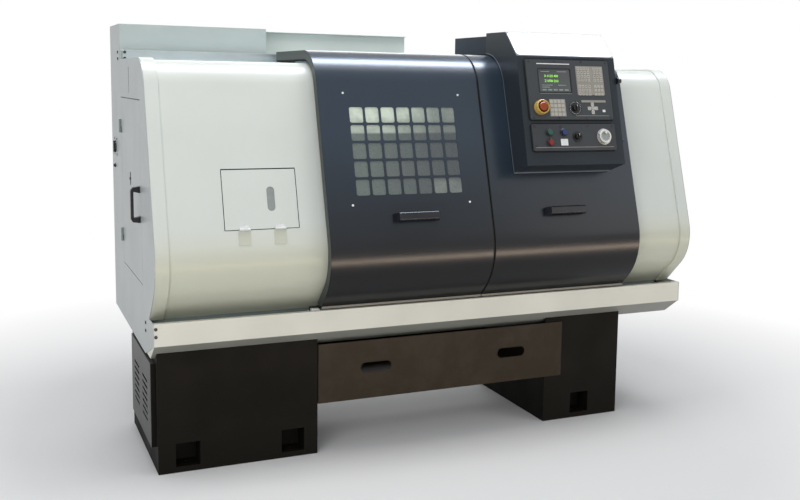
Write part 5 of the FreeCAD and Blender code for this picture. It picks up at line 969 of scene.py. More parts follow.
class Fasteners:
    """Collects the places of like fasteners and grows one piece of them for each body."""

    def __init__(self, repeats: Repeats) -> None:
        """Remembers the node trees."""
        self.repeats = repeats
        self.places: dict[tuple[Body, str], list[tuple[Vector, Vector]]] = {}

    def put(self, body: Body, kind: str, facing: Facing, spots: Iterable[Point2]) -> None:
        """Notes fasteners of one kind at (u, v) places of a surface."""
        group = self.places.setdefault((body, kind), [])
        for u, v in spots:
            group.append((facing.at(u, v), facing.out))

    @staticmethod
    def points(name: str, places: Sequence[tuple[Vector, Vector]], lift: float) -> bpy.types.Mesh:
        """Returns a mesh of loose points with the facing of each."""
        data = bpy.data.meshes.new(name)
        data.from_pydata([tuple(at + out * lift * MM) for at, out in places], [], [])
        layer = data.attributes.new("facing", "FLOAT_VECTOR", "POINT")
        layer.data.foreach_set("vector", [c for _, out in places for c in out])
        return data

    def grow(self, kinds: dict[str, tuple[float, float, Finish, Finish]]) -> None:
        """Makes the heads and their sockets: kinds gives head radius, height and both finishes."""
        for (body, kind), places in self.places.items():
            radius, height, head_finish, socket_finish = kinds[kind]
            for end, sides, share, lift, finish in (("", 20, 1.0, 0.0, head_finish),
                                                    ("_socket", 6, 0.5, 0.1, socket_finish)):
                name = "%s_%s%s" % (body.value, kind, end)
                values = {"Sides": sides, "Radius": radius * share * MM, "Height": height * MM}
                points = self.points(name, places, height / 2 + lift)
                self.repeats.grow(name, self.repeats.studs, values, Matrix.Identity(4), body, finish, points)


def lettering(name: str, text: str, size: float, matrix: Matrix, body: Body,
              finish: Finish) -> bpy.types.Object:
    """Makes raised characters, for the numbers and axis letters that any such control shows.

    Args:
        name: the piece's name.
        text: the characters.
        size: their height in millimetres.
        matrix: placement of their lower left corner.
        body: the body they ride on.
        finish: their surface.

    Returns:
        The piece.
    """
    curve = bpy.data.curves.new(name, "FONT")
    curve.body = text
    curve.size = size
    curve.extrude = 0.15
    curve.resolution_u = 2
    source = linked(name + "_curve", curve)
    data = shown_mesh(source)
    bpy.data.objects.remove(source)
    data.transform(matrix)
    return settle(linked(name, data), body, finish)


# ------------------------------------------------------------------------------------ sub-assemblies
@dataclass
class Stand:
    """Pedestals, chip pan, swarf tray and the vent cover."""

    datum: Datum
    fasteners: Fasteners
    tray_front_y: float = 54.7
    tray_slots: tuple[float, float] = (945.0, 1606.0)
    tray_slot_z: float = 354.0
    tray_slot_size: Point2 = (140.0, 45.0)

    def dress(self) -> None:
        """Finishes the castings and sheet pieces of the stand."""
        recast("left_pedestal", Shop.pedestal, 4.0)
        recast("right_pedestal", Shop.pedestal, 4.0)
        recast("chip_pan", Shop.pan, 1.2)
        recast("pedestal_vent", Shop.vent, 0.8)
        recast("swarf_tray", Shop.tray, 0.9)

    def tray_rims(self) -> None:
        """Folds a lip round each grip slot of the tray."""
        width, height = self.tray_slot_size
        rims = Solid()
        for x in self.tray_slots:
            spot = self.datum.front(x, self.tray_front_y, self.tray_slot_z)
            rims.rim(spot.matrix(), width, height, height / 2 - 1, 3.0, 1.2)
        rims.finish("tray_grip_rims", Body.TRAY, Shop.tray)

    def vent_edge(self) -> None:
        """Adds the dark front flank of the vent cover."""
        flank = Solid().plate(self.datum.front(10.5, 100, 277).matrix(), 18, 345, 0.5)
        flank.finish("vent_front_flank", Body.MACHINE, Shop.pedestal)

    def pan_screws(self) -> None:
        """Notes the screws at the ends of the pan's front strip."""
        strip = self.datum.front(0, 0, 0)
        self.fasteners.put(Body.MACHINE, "dark_screw", strip, [(10, 611), (10, 580)])


def section(datum: Datum, x: float) -> Matrix:
    """Returns the placement of a cross-section in (Y, Z) that grows towards +X."""
    return Facing(datum.at(x, 0, 0), Vector((0, 1, 0)), Vector((0, 0, 1))).matrix()


def shifted(facing: Facing, lift: float) -> Facing:
    """Returns the same surface, moved outwards in millimetres."""
    return Facing(facing.at(0, 0, lift), facing.right, facing.up)


@dataclass
class Enclosure:
    """End plates, fixed covers with the flap, top rail, door sill, side door and rear guard."""

    datum: Datum
    outline: CoverOutline
    fasteners: Fasteners
    length: float = 2500.0
    rail_y: float = 745.0
    band: float = 55.0
    bead_width: float = 1.5
    bead_height: float = 6.5
    bead_rear_y: float = 699.0
    bead_foot_z: float = 640.0
    flap_at: Point2 = (426.0, 1106.0)
    flap_size: Point2 = (298.0, 241.0)
    hinge_z: tuple[float, float] = (869.0, 1361.0)
    stop_x: float = 662.0

    def dress(self) -> None:
        """Finishes the sheet pieces."""
        for node in ("left_cover", "right_cover", "cover_flap"):
            recast(node, Shop.cover, 0.7)
        for node in ("left_end_plate", "right_end_plate", "side_door"):
            recast(node, Shop.plate, 0.7)
        recast("top_rail", Shop.rail, 0.6)
        recast("door_sill", Shop.sill, 0.6)
        recast("rear_guard", Shop.guard, 0.8)
        recast("side_door_handle", Shop.grip, 2.5)

    def screws(self) -> None:
        """Notes the screws of the plates and the rail."""
        spots = [(-186, 599), (-186, 566), (-885, 1661), (-885, 1690)]
        self.fasteners.put(Body.MACHINE, "dark_screw", self.datum.left(0, 0, 0), spots)
        spots = [(x, z) for x in (12, self.length - 12) for z in (1661, 1688)]
        self.fasteners.put(Body.MACHINE, "dark_screw", self.datum.front(0, self.rail_y, 0), spots)

    def flap_hinges(self) -> None:
        """Adds the flap's hinge leaves and tabs, a dark ring of painted shade in the gap round it, and the
        sight slot's pane.
        """
        spot = self.outline.slope(self.datum, *self.flap_at, 0.0)
        width, height = self.flap_size
        leaves, tabs = Solid(), Solid()
        for u in (-74, 70):
            leaves.plate(spot.matrix(u, -height / 2 - 35), 50, 58, 1.9, 4)
            tabs.plate(spot.matrix(u, -height / 2 + 8, 1.5), 42, 11, 0.9, 1.5)
        leaves.finish("flap_hinge_leaves", Body.MACHINE, Shop.leaf, 0.4)
        tabs.finish("flap_hinge_tabs", Body.FLAP, Shop.screw)
        # Painted shade: a dark ring round the flap, wider along its top, where the gap is in shade.
        gap = Solid().rim(spot.matrix(w=-0.2), width + 0.6, height + 0.6, 2.0, 2.2, 0.5)
        gap.plate(spot.matrix(0, height / 2 + 3.0, -0.2), width + 4, 3.0, 0.5)
        gap.finish("flap_gap_shade", Body.MACHINE, Shop.seal)
        pane = Solid().plate(spot.matrix(43, 0, -3.4), 46, 112, 1.2, 20)
        pane.finish("flap_sight_pane", Body.FLAP, Shop.sight)

    def stop_block(self) -> None:
        """Adds the white stop block at the end of the door track."""
        block = Solid().plate(self.datum.top(self.stop_x, 34, 618).matrix(), 34, 26, 18, 2)
        block.plate(self.datum.top(self.stop_x, 66, 610.3).matrix(), 34, 44, 8, 2)
        block.finish("door_stop", Body.MACHINE, Shop.white_mark, 0.8)

    def plate_marks(self) -> None:
        """Adds the side door's lock and the cable gland on the cabinet's side."""
        left = self.datum.left(0, 0, 0)
        lock = Solid().plate(left.matrix(-548, 1148), 16, 56, 1.5, 7)
        lock.turned(left.matrix(-548, 1148, 1.5), [(0, 0), (5, 0), (5, 3), (0, 3)], 20)
        lock.finish("side_door_lock", Body.SIDE_DOOR, Shop.knob, 0.4)
        profile = [(0, 0), (9, 0), (9, 4), (6.5, 5), (6.5, 10), (0, 10)]
        gland = Solid().turned(left.matrix(-1049, 1164), profile, 24)
        gland.finish("cable_gland", Body.MACHINE, Shop.knob)

    def hinge_sleeves(self) -> None:
        """Adds the dark sleeves of the side door's two hinges."""
        profile = [(4.9, 0), (5.8, 0), (5.8, 29.8), (4.9, 29.8)]
        for body, start in ((Body.MACHINE, -30.2), (Body.SIDE_DOOR, 0.4)):
            sleeves = Solid()
            for z in self.hinge_z:
                sleeves.turned(self.datum.top(-5, 815, z + start).matrix(), profile, 24)
            sleeves.finish(body.value + "_hinge_sleeves", body, Shop.sill)

    def band_seams(self) -> None:
        """Adds the thin sealing bead where each end band meets its cover."""
        inner, outer = (self.outline.points(offset, self.bead_rear_y, self.bead_foot_z)
                        for offset in (0.0, self.bead_height))
        right_x = self.length - self.band - self.bead_width
        for name, x in (("left_band_bead", self.band), ("right_band_bead", right_x)):
            bead = Solid().prism_between(section(self.datum, x), inner, outer, self.bead_width)
            bead.finish(name, Body.MACHINE, Shop.cover)


@dataclass
class SlidingDoors:
    """Both curved doors with their seals, foot trims, handles, pane and window screws."""

    datum: Datum
    outline: CoverOutline
    fasteners: Fasteners
    proud: float = 55.0
    flange: float = 38.0
    sheet: float = 2.5
    left_x: float = 684.0
    seam_x: float = 1424.0
    seam_gap: float = 5.0
    right_x: float = 2176.0
    rear_y: float = 702.0
    foot_z: float = 647.0
    hem: float = 10.0

    def dress(self) -> None:
        """Finishes the doors' nodes."""
        recast("left_door", Shop.door, 0.6)
        recast("right_door", Shop.door, 0.6)
        for node in ("left_door_handle", "right_door_handle"):
            recast(node, Shop.grip, 1.5)
        low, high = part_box("door_window")
        recast("door_window", PaneWithPaintedReflection("window_clear", "window_clear", "636D69", low=low, high=high))

    def band(self, x: float, low: float, high: float, width: float, lift: float = 0.0) -> Solid:
        """Returns a band that follows the doors' section.

        Args:
            x: station of its left side.
            low: offset of its inner side from the covers.
            high: offset of its outer side.
            width: its width along the machine.
            lift: height of its lower end above the doors' foot.

        Returns:
            The band, not yet finished.
        """
        inner, outer = (self.outline.points(offset, self.rear_y - 4, self.foot_z + lift)
                        for offset in (low, high))
        return Solid().prism_between(section(self.datum, x), inner, outer, width)

    def lips(self) -> None:
        """Adds the rubber lips inside the outer flanges and the flanges' faces, in a lighter grey copy of the
        door paint as painted light.
        """
        edge = self.proud - self.flange
        for name, body, x, face_x in (
                ("left_door", Body.LEFT_DOOR, self.left_x + self.sheet, self.left_x - 0.6),
                ("right_door", Body.RIGHT_DOOR, self.right_x - self.sheet - 4, self.right_x)):
            self.band(x, edge - 8, edge + 6, 4.0, 4.0).finish(name + "_lip", body, Shop.seal)
            # Painted light: the flange face takes a lighter copy of the door paint.
            face = self.band(face_x, edge, self.proud - 1.2, 0.6)
            face.finish(name + "_flange_face", body, Shop.flange)

    def seam(self) -> None:
        """Adds the rubber that closes the seam between the doors, and the dark edges beside it."""
        x = self.seam_x - self.seam_gap / 2
        strip = self.band(x, self.proud - 30, self.proud - 4, self.seam_gap - 1.0)
        strip.finish("door_seam_rubber", Body.LEFT_DOOR, Shop.seal)
        for name, body, start in (("left_seam_edge", Body.LEFT_DOOR, x - 3.0),
                                  ("right_seam_edge", Body.RIGHT_DOOR, x + self.seam_gap)):
            self.band(start, self.proud - 0.3, self.proud + 0.5, 3.0).finish(name, body, Shop.seal)

    def foot_trims(self) -> None:
        """Adds the pale extrusion along each door's foot."""
        foot_y = self.outline.corners(self.proud, self.rear_y, self.foot_z)[-1][0]
        half_gap = self.seam_gap / 2
        for name, body, x0, x1 in (
                ("left_door_foot", Body.LEFT_DOOR, self.left_x, self.seam_x - half_gap),
                ("right_door_foot", Body.RIGHT_DOOR, self.seam_x + half_gap, self.right_x)):
            spot = self.datum.front((x0 + x1) / 2, foot_y, self.foot_z - self.hem / 2 - 0.5)
            trim = Solid().plate(spot.matrix(), x1 - x0, self.hem - 1, 1.6, 0.8)
            trim.finish(name, body, Shop.foot, 0.3)

    def window_screws(self) -> None:
        """Notes the screws of the window's pane."""
        top = self.outline.slope(self.datum, 0, 1577, self.proud)
        spots = [(793, -51), (1320, -55), (792, -525), (1322, -528)]
        self.fasteners.put(Body.LEFT_DOOR, "bright_screw", top, spots)


@dataclass
class Console:
    """The hanging operator console: housing, panels, screen, keys and switches."""

    datum: Datum
    outline: CoverOutline
    repeats: Repeats
    fasteners: Fasteners
    left_x: float = 1550.0
    width: float = 500.0
    top: Point2 = (-29.0, 1700.0)
    bottom: Point2 = (-154.0, 1230.0)
    hood_front: Point2 = (79.0, 1805.0)
    hood_rear: float = 265.0
    under_z: float = 1190.0
    behind: float = 61.0
    panel_thick: float = 10.0
    screen_x: float = 1723.0
    key_pitch: float = 17.0
    stop_at: Point2 = (1638.0, 233.0)
    dial_at: Point2 = (1813.0, 234.0)
    mode_at: Point2 = (1808.0, 363.0)
    wheel_at: Point2 = (1946.0, 364.0)
    buttons_at: tuple[Point2, ...] = ((1667.0, 344.0), (1667.0, 388.0), (1740.0, 344.0))

    def face(self) -> Facing:
        """Returns the console's face, from its upper left corner; down is negative v."""
        up = Vector((0, self.top[0] - self.bottom[0], self.top[1] - self.bottom[1])).normalized()
        return Facing(self.datum.at(self.left_x, *self.top), Vector((1, 0, 0)), up)

    def on_panel(self, x: float, down: float, lift: float = 0.0) -> Matrix:
        """Returns a placement on the panels' surface at a machine station and a distance down."""
        return self.face().matrix(x - self.left_x, -down, self.panel_thick + lift)

    def plates(self, name: str, finish: Finish, rows: Iterable[tuple[float, ...]], lift: float = 0.0,
               edge: float = 0.0) -> None:
        """Adds one piece of flat plates on the panels.

        Args:
            name: the piece's name.
            finish: its surface.
            rows: station, distance down, width, height, depth and, if rounded, radius of each plate.
            lift: height of the plates' undersides above the panels.
            edge: width of their rounded edges in millimetres.
        """
        piece = Solid()
        for x, down, *size in rows:
            piece.plate(self.on_panel(x, down, lift), *size)
        piece.finish(name, Body.MACHINE, finish, edge)

    def rings(self, name: str, finish: Finish, rows: Iterable[tuple[Point2, list[Point2], int]]) -> None:
        """Adds one piece of turned rings on the panels, each from its place, profile and sides."""
        piece = Solid()
        for place, profile, sides in rows:
            piece.turned(self.on_panel(*place), profile, sides)
        piece.finish(name, Body.MACHINE, finish)

    def dress(self) -> None:
        """Finishes the console's nodes."""
        recast("console_housing", Shop.console, 2.0)
        recast("console_arm", Shop.arm, 2.0)
        recast("control_panel", Shop.bezel, 1.2)
        recast("switch_panel", Shop.switch_panel, 1.2)
        recast("control_screen", Shop.screen, 0.6)
        recast("control_keys", Shop.key, 0.5)

    def rear_path(self, offset: float) -> list[Point2]:
        """Returns the housing's rear outline at an offset from the covers, from the hood down to its foot."""
        low = self.under_z - 200
        (y1, z1), (y2, z2) = self.outline.corners(offset, self.hood_rear, low)[1:3]
        chain = [p for p in self.outline.points(offset, self.hood_rear - 4, low) if p[1] > self.under_z]
        return chain + [(y1 + (z1 - self.under_z) / (z1 - z2) * (y2 - y1), self.under_z)]

    def rims(self) -> None:
        """Adds the folded sheet rims along the housing's rear outline and below it, in a lighter copy of the
        console paint as painted highlight.
        """
        rims = Solid()
        inner, outer = self.rear_path(self.behind), self.rear_path(self.behind + 5)
        for x in (self.left_x - 0.6, self.left_x + self.width):
            rims.prism_between(section(self.datum, x), inner, outer, 0.6)
        lip = self.datum.front(self.left_x + self.width / 2, inner[-1][0] - 1.5, self.under_z - 1)
        rims.plate(lip.matrix(), self.width - 1, 6, 1.5, 0.5)
        rims.finish("console_rims", Body.MACHINE, Shop.rim)

    def hood(self) -> None:
        """Adds the white cap on the hood's slope."""
        slope = Vector((0, self.hood_front[0] - self.top[0], self.hood_front[1] - self.top[1]))
        facing = Facing(self.datum.at(self.left_x, *self.top), Vector((1, 0, 0)), slope.normalized())
        length = slope.length
        cap = Solid().plate(facing.matrix(self.width / 2, length / 2), self.width - 8, length - 10, 1.5, 16)
        cap.finish("hood_cap", Body.MACHINE, Shop.hood, 0.6)

    def screen(self) -> None:
        """Lays out the display: frame, axis readouts, plain lines and soft-key row."""
        rim = Solid().rim(self.on_panel(self.screen_x, 111), 160, 102, 3, 4, 1.2)
        rim.finish("screen_frame", Body.MACHINE, Shop.knob)
        for name, text, down in (("axis_x", "X 0125.400", 96), ("axis_z", "Z 0380.250", 118)):
            lettering(name, text, 15, self.on_panel(1672, down, -1.3), Body.MACHINE, Shop.digit)
        lines = ((1678, 71, 44), (1762, 71, 48), (1683, 132, 54), (1759, 132, 42), (1676, 141, 40))
        self.plates("screen_lines", Shop.dim_digit, [(*line, 3, 0.2) for line in lines], lift=-1.4)
        self.repeats.grow("soft_key_marks", self.repeats.cells,
                          {"Columns": 5, "Rows": 1, "Span X": 112.0, "Span Y": 0.0, "Width": 20.0,
                           "Height": 6.0, "Corner": 1.0, "Depth": 0.3},
                          self.on_panel(self.screen_x, 153, -1.3), Body.MACHINE, Shop.dim_digit)

    def films(self) -> None:
        """Adds the films below the keys, the plain strips and lines, and the jog keys' frames."""
        self.plates("key_films", Shop.film,
                    ((1904.5, 109.5, 141, 131, 0.6, 3), (1723.5, 233.5, 81, 77, 0.6, 3),
                     (1911.5, 203.5, 127, 10, 0.6, 1)))
        self.plates("plain_strips", Shop.white_mark,
                    ((1721.5, 36.5, 167, 4, 0.5, 0.5), (1739.5, 387, 36, 29, 1.0, 1.5)))
        self.plates("panel_lines", Shop.film,
                    ((1898.5, 269, 171, 2.0, 0.4), (1794.5, 409.5, 399, 2.4, 0.4),
                     (self.screen_x, 170, 160, 1.8, 0.4)))
        frames = ((1886.5, 235.5), (1920.5, 235.5), (1903.5, 218.5), (1903.5, 252.5))
        self.plates("jog_key_frames", Shop.white_mark,
                    [(1961, 247, 14, 11, 1.6, 1.5)] + [(*at, 16, 16, 1.0, 4) for at in frames], edge=0.3)

    def gaskets(self) -> None:
        """Adds the dark gaskets that frame both panels."""
        gaskets = Solid()
        for x, down, width, height in ((1796.5, 150, 427, 270), (1792.5, 365, 415, 118)):
            gaskets.rim(self.on_panel(x, down, -self.panel_thick), width + 1, height + 1, 9, 5, 2.0)
        gaskets.finish("panel_gaskets", Body.MACHINE, Shop.seal)

    def key_legends(self) -> None:
        """Marks the keys with small bars and the number keys with their digits."""
        pitch = self.key_pitch
        for name, x, down, columns, rows in (("edit_marks", 1872, 81.5, 4, 4),
                                             ("data_marks", 1945.5, 81.5, 3, 4),
                                             ("page_marks", 1872, 153, 4, 3)):
            self.repeats.grow(name, self.repeats.cells,
                              {"Columns": columns, "Rows": rows, "Span X": pitch * (columns - 1),
                               "Span Y": pitch * (rows - 1), "Width": 6.0, "Height": 2.2, "Corner": 0.4,
                               "Depth": 0.3},
                              self.on_panel(x, down, 2.0), Body.MACHINE, Shop.legend)
        for index, digit in enumerate("789456123"):
            place = self.on_panel(1925.5 + pitch * (index % 3), 145 + pitch * (index // 3), 2.05)
            lettering("digit_%s" % digit, digit, 7, place, Body.MACHINE, Shop.legend)

    def collars(self) -> None:
        """Adds the rings and scales round the switches."""
        cup = [(25, 0), (33, 0), (33, 4), (31, 24), (29, 26), (26, 26), (25, 25)]
        self.rings("stop_collar", Shop.amber, [(self.stop_at, cup, 56)])
        bush = [(12.6, 0), (16.5, 0), (16.5, 5), (15, 6.5), (12.6, 6.5)]
        self.rings("switch_collars", Shop.knob,
                   [(self.stop_at, [(12, 0), (24, 0), (24, 8), (12, 11)], 40),
                    (self.dial_at, [(16, 0), (32, 0), (32, 1.2), (16, 1.2)], 48),
                    (self.mode_at, [(15, 0), (24, 0), (24, 2.5), (15, 2.5)], 40),
                    *((at, bush, 36) for at in self.buttons_at)])
        self.rings("wheel_scale_ring", Shop.wheel,
                   [(self.wheel_at, [(30.6, 0), (36, 0), (36, 2), (30.6, 2)], 56)])
        self.ticks("dial_scale", self.dial_at, 1.4, 24, 27.0, (5.0, 0.9, 0.5), Body.MACHINE,
                   Shop.white_mark)
        self.ticks("wheel_scale", self.wheel_at, 2.2, 50, 33.5, (3.0, 0.6, 0.4), Body.MACHINE,
                   Shop.legend)

    def ticks(self, name: str, at: Point2, lift: float, count: int, radius: float,
              size: tuple[float, float, float], body: Body, finish: Finish) -> None:
        """Adds a circle of ticks round a switch.

        Args:
            name: the piece's name.
            at: the circle's centre: station and distance down.
            lift: its height above the panel.
            count: number of ticks.
            radius: its radius.
            size: a tick's length, width and height.
            body: the body it rides on.
            finish: its surface.
        """
        self.repeats.grow(name, self.repeats.ticks, {"Count": count, "Radius": radius, "Tick": size},
                          self.on_panel(*at, lift), body, finish)

    def knobs(self) -> None:
        """Finishes the switches and adds their pointers, the wheel's knurl and its disc."""
        recast("emergency_stop", Shop.red, 1.5)
        recast("pulse_wheel", Shop.wheel, 1.0)
        recast("feed_dial", Shop.knob, 0.8)
        recast("mode_switch", Shop.knob, 0.8)
        dress("green_button", Shop.lamp_green)
        dress("red_button", Shop.lamp_red)
        dress("blue_button", Shop.lamp_blue)
        for name, body, (x, down), height in (("feed_pointer", Body.FEED_DIAL, self.dial_at, 18.3),
                                              ("mode_pointer", Body.MODE_SWITCH, self.mode_at, 20.3)):
            pointer = Solid().plate(self.on_panel(x, down - 7, height), 1.6, 9, 0.4)
            pointer.finish(name, body, Shop.white_mark)
        self.ticks("wheel_knurl", self.wheel_at, 8.0, 60, 29.9, (1.0, 1.6, 10.0), Body.PULSE_WHEEL,
                   Shop.wheel)
        profile = [(0, 0), (20.5, 0), (20.5, 0.5), (0, 0.5)]
        disc = Solid().turned(self.on_panel(*self.wheel_at, 9.4), profile, 40)
        disc.finish("wheel_disc", Body.PULSE_WHEEL, Shop.sight)

    def side_knobs(self) -> None:
        """Adds the small connector and the plug on the console's right side."""
        right = self.datum.end(self.left_x + self.width, 0, 0)
        socket = [(0, 0), (15, 0), (15, 8), (11, 10), (11, 20), (0, 20)]
        knobs = Solid().turned(right.matrix(-60, 1598), socket, 28)
        knobs.turned(right.matrix(-118, 1332), [(0, 0), (8, 0), (8, 6), (0, 6)], 20)
        knobs.finish("console_side_knobs", Body.MACHINE, Shop.knob)

    def screws(self) -> None:
        """Notes the panels' screws."""
        places = ((1600, 26), (1729, 24), (1868, 24), (1994, 26), (1600, 278), (1727, 279), (1865, 279),
                  (1994, 278), (1598, 316), (1994, 316), (1598, 401), (1727, 316), (1865, 316))
        spots = [(x - self.left_x, -down) for x, down in places]
        self.fasteners.put(Body.MACHINE, "panel_screw", shifted(self.face(), self.panel_thick), spots)


@dataclass
class Cabinet:
    """Electrical cabinet: shell, rear door with louvres, latch and main switch."""

    datum: Datum
    repeats: Repeats
    fasteners: Fasteners
    rear_y: float = 1179.3
    centre_x: float = 332.0
    switch_at: Point2 = (1015.0, 1256.0)

    def dress(self) -> None:
        """Finishes the cabinet's nodes."""
        recast("electrical_cabinet", Shop.cabinet, 0.8)
        recast("cabinet_door", Shop.cabinet, 0.8)
        recast("cabinet_latch", Shop.knob, 0.8)
        recast("main_switch_knob", Shop.knob, 1.0)

    def louvres(self) -> None:
        """Adds two fields of pressed louvres to the rear door."""
        back = self.datum.back(0, self.rear_y, 0)
        for name, z in (("upper_louvres", 1600.0), ("lower_louvres", 640.0)):
            self.repeats.grow(name, self.repeats.cells,
                              {"Columns": 2, "Rows": 9, "Span X": 210.0, "Span Y": 144.0, "Width": 150.0,
                               "Height": 8.0, "Corner": 3.5, "Depth": 3.0},
                              back.matrix(-self.centre_x, z), Body.CABINET_DOOR, Shop.cabinet)

    def screws(self) -> None:
        """Notes the screws of the main switch's seat."""
        y, z = self.switch_at
        spots = [(du - y, z + dv) for du in (-36, 36) for dv in (-36, 36)]
        self.fasteners.put(Body.MACHINE, "panel_screw", self.datum.left(-2, 0, 0), spots)


@dataclass
class Machinery:
    """Bed, headstock, drive, chuck, carriage and tailstock behind the doors."""

    datum: Datum
    fasteners: Fasteners
    spindle: Point2 = (420.0, 1110.0)
    chuck_face_x: float = 684.3
    face_screw_r: float = 96.0
    lever_at: Point2 = (2120.0, 380.0)
    lever_z: float = 1176.0

    def dress(self) -> None:
        """Finishes the nodes of the machine proper."""
        for node in ("bed", "headstock", "saddle", "tailstock"):
            recast(node, Shop.casting, 1.5)
        for node in ("spindle", "chuck_body", "cross_slide", "tool_turret"):
            recast(node, Shop.ground, 0.8)
        recast("spindle_pulley", Shop.casting)
        recast("spindle_motor", Shop.motor)
        recast("turret_base", Shop.motor, 1.0)
        recast("cross_motor", Shop.servo, 1.0)
        recast("feed_motor", Shop.servo, 1.0)
        dress("drive_belt", Shop.belt)
        recast("turning_tools", Shop.servo, 0.4)
        recast("motor_pulley", Shop.casting)
        for node in ("feed_screw", "quill", "centre_point", "tailstock_handwheel", "chuck_jaw_1",
                     "chuck_jaw_2", "chuck_jaw_3"):
            recast(node, Shop.hard)

    def chuck_screws(self) -> None:
        """Notes the three screws in the chuck's face."""
        turns = [math.radians(degrees) + math.pi for degrees in (30, 150, 270)]
        spots = [(self.face_screw_r * math.cos(turn), self.face_screw_r * math.sin(turn)) for turn in turns]
        face = self.datum.end(self.chuck_face_x, *self.spindle)
        self.fasteners.put(Body.SPINDLE, "bright_screw", face, spots)

    def clamp_lever(self) -> None:
        """Adds the quill's clamp lever on the tailstock."""
        base = self.datum.at(*self.lever_at, self.lever_z)
        tip = base + Vector((0, -0.06, 0.11))
        lever = Solid().tube([base, base + Vector((0, -0.02, 0.05)), tip], 6.0)
        ball = Facing(tip, Vector((1, 0, 0)), Vector((0, 0.9, 0.44)))
        lever.turned(ball.matrix(), [(0, -14), (12, -10), (16, 0), (12, 10), (0, 14)], 24)
        boss = self.datum.top(*self.lever_at, self.lever_z - 10)
        lever.turned(boss.matrix(), [(0, 0), (14, 0), (14, 12), (0, 12)], 24)
        lever.finish("quill_clamp_lever", Body.TAILSTOCK, Shop.knob)


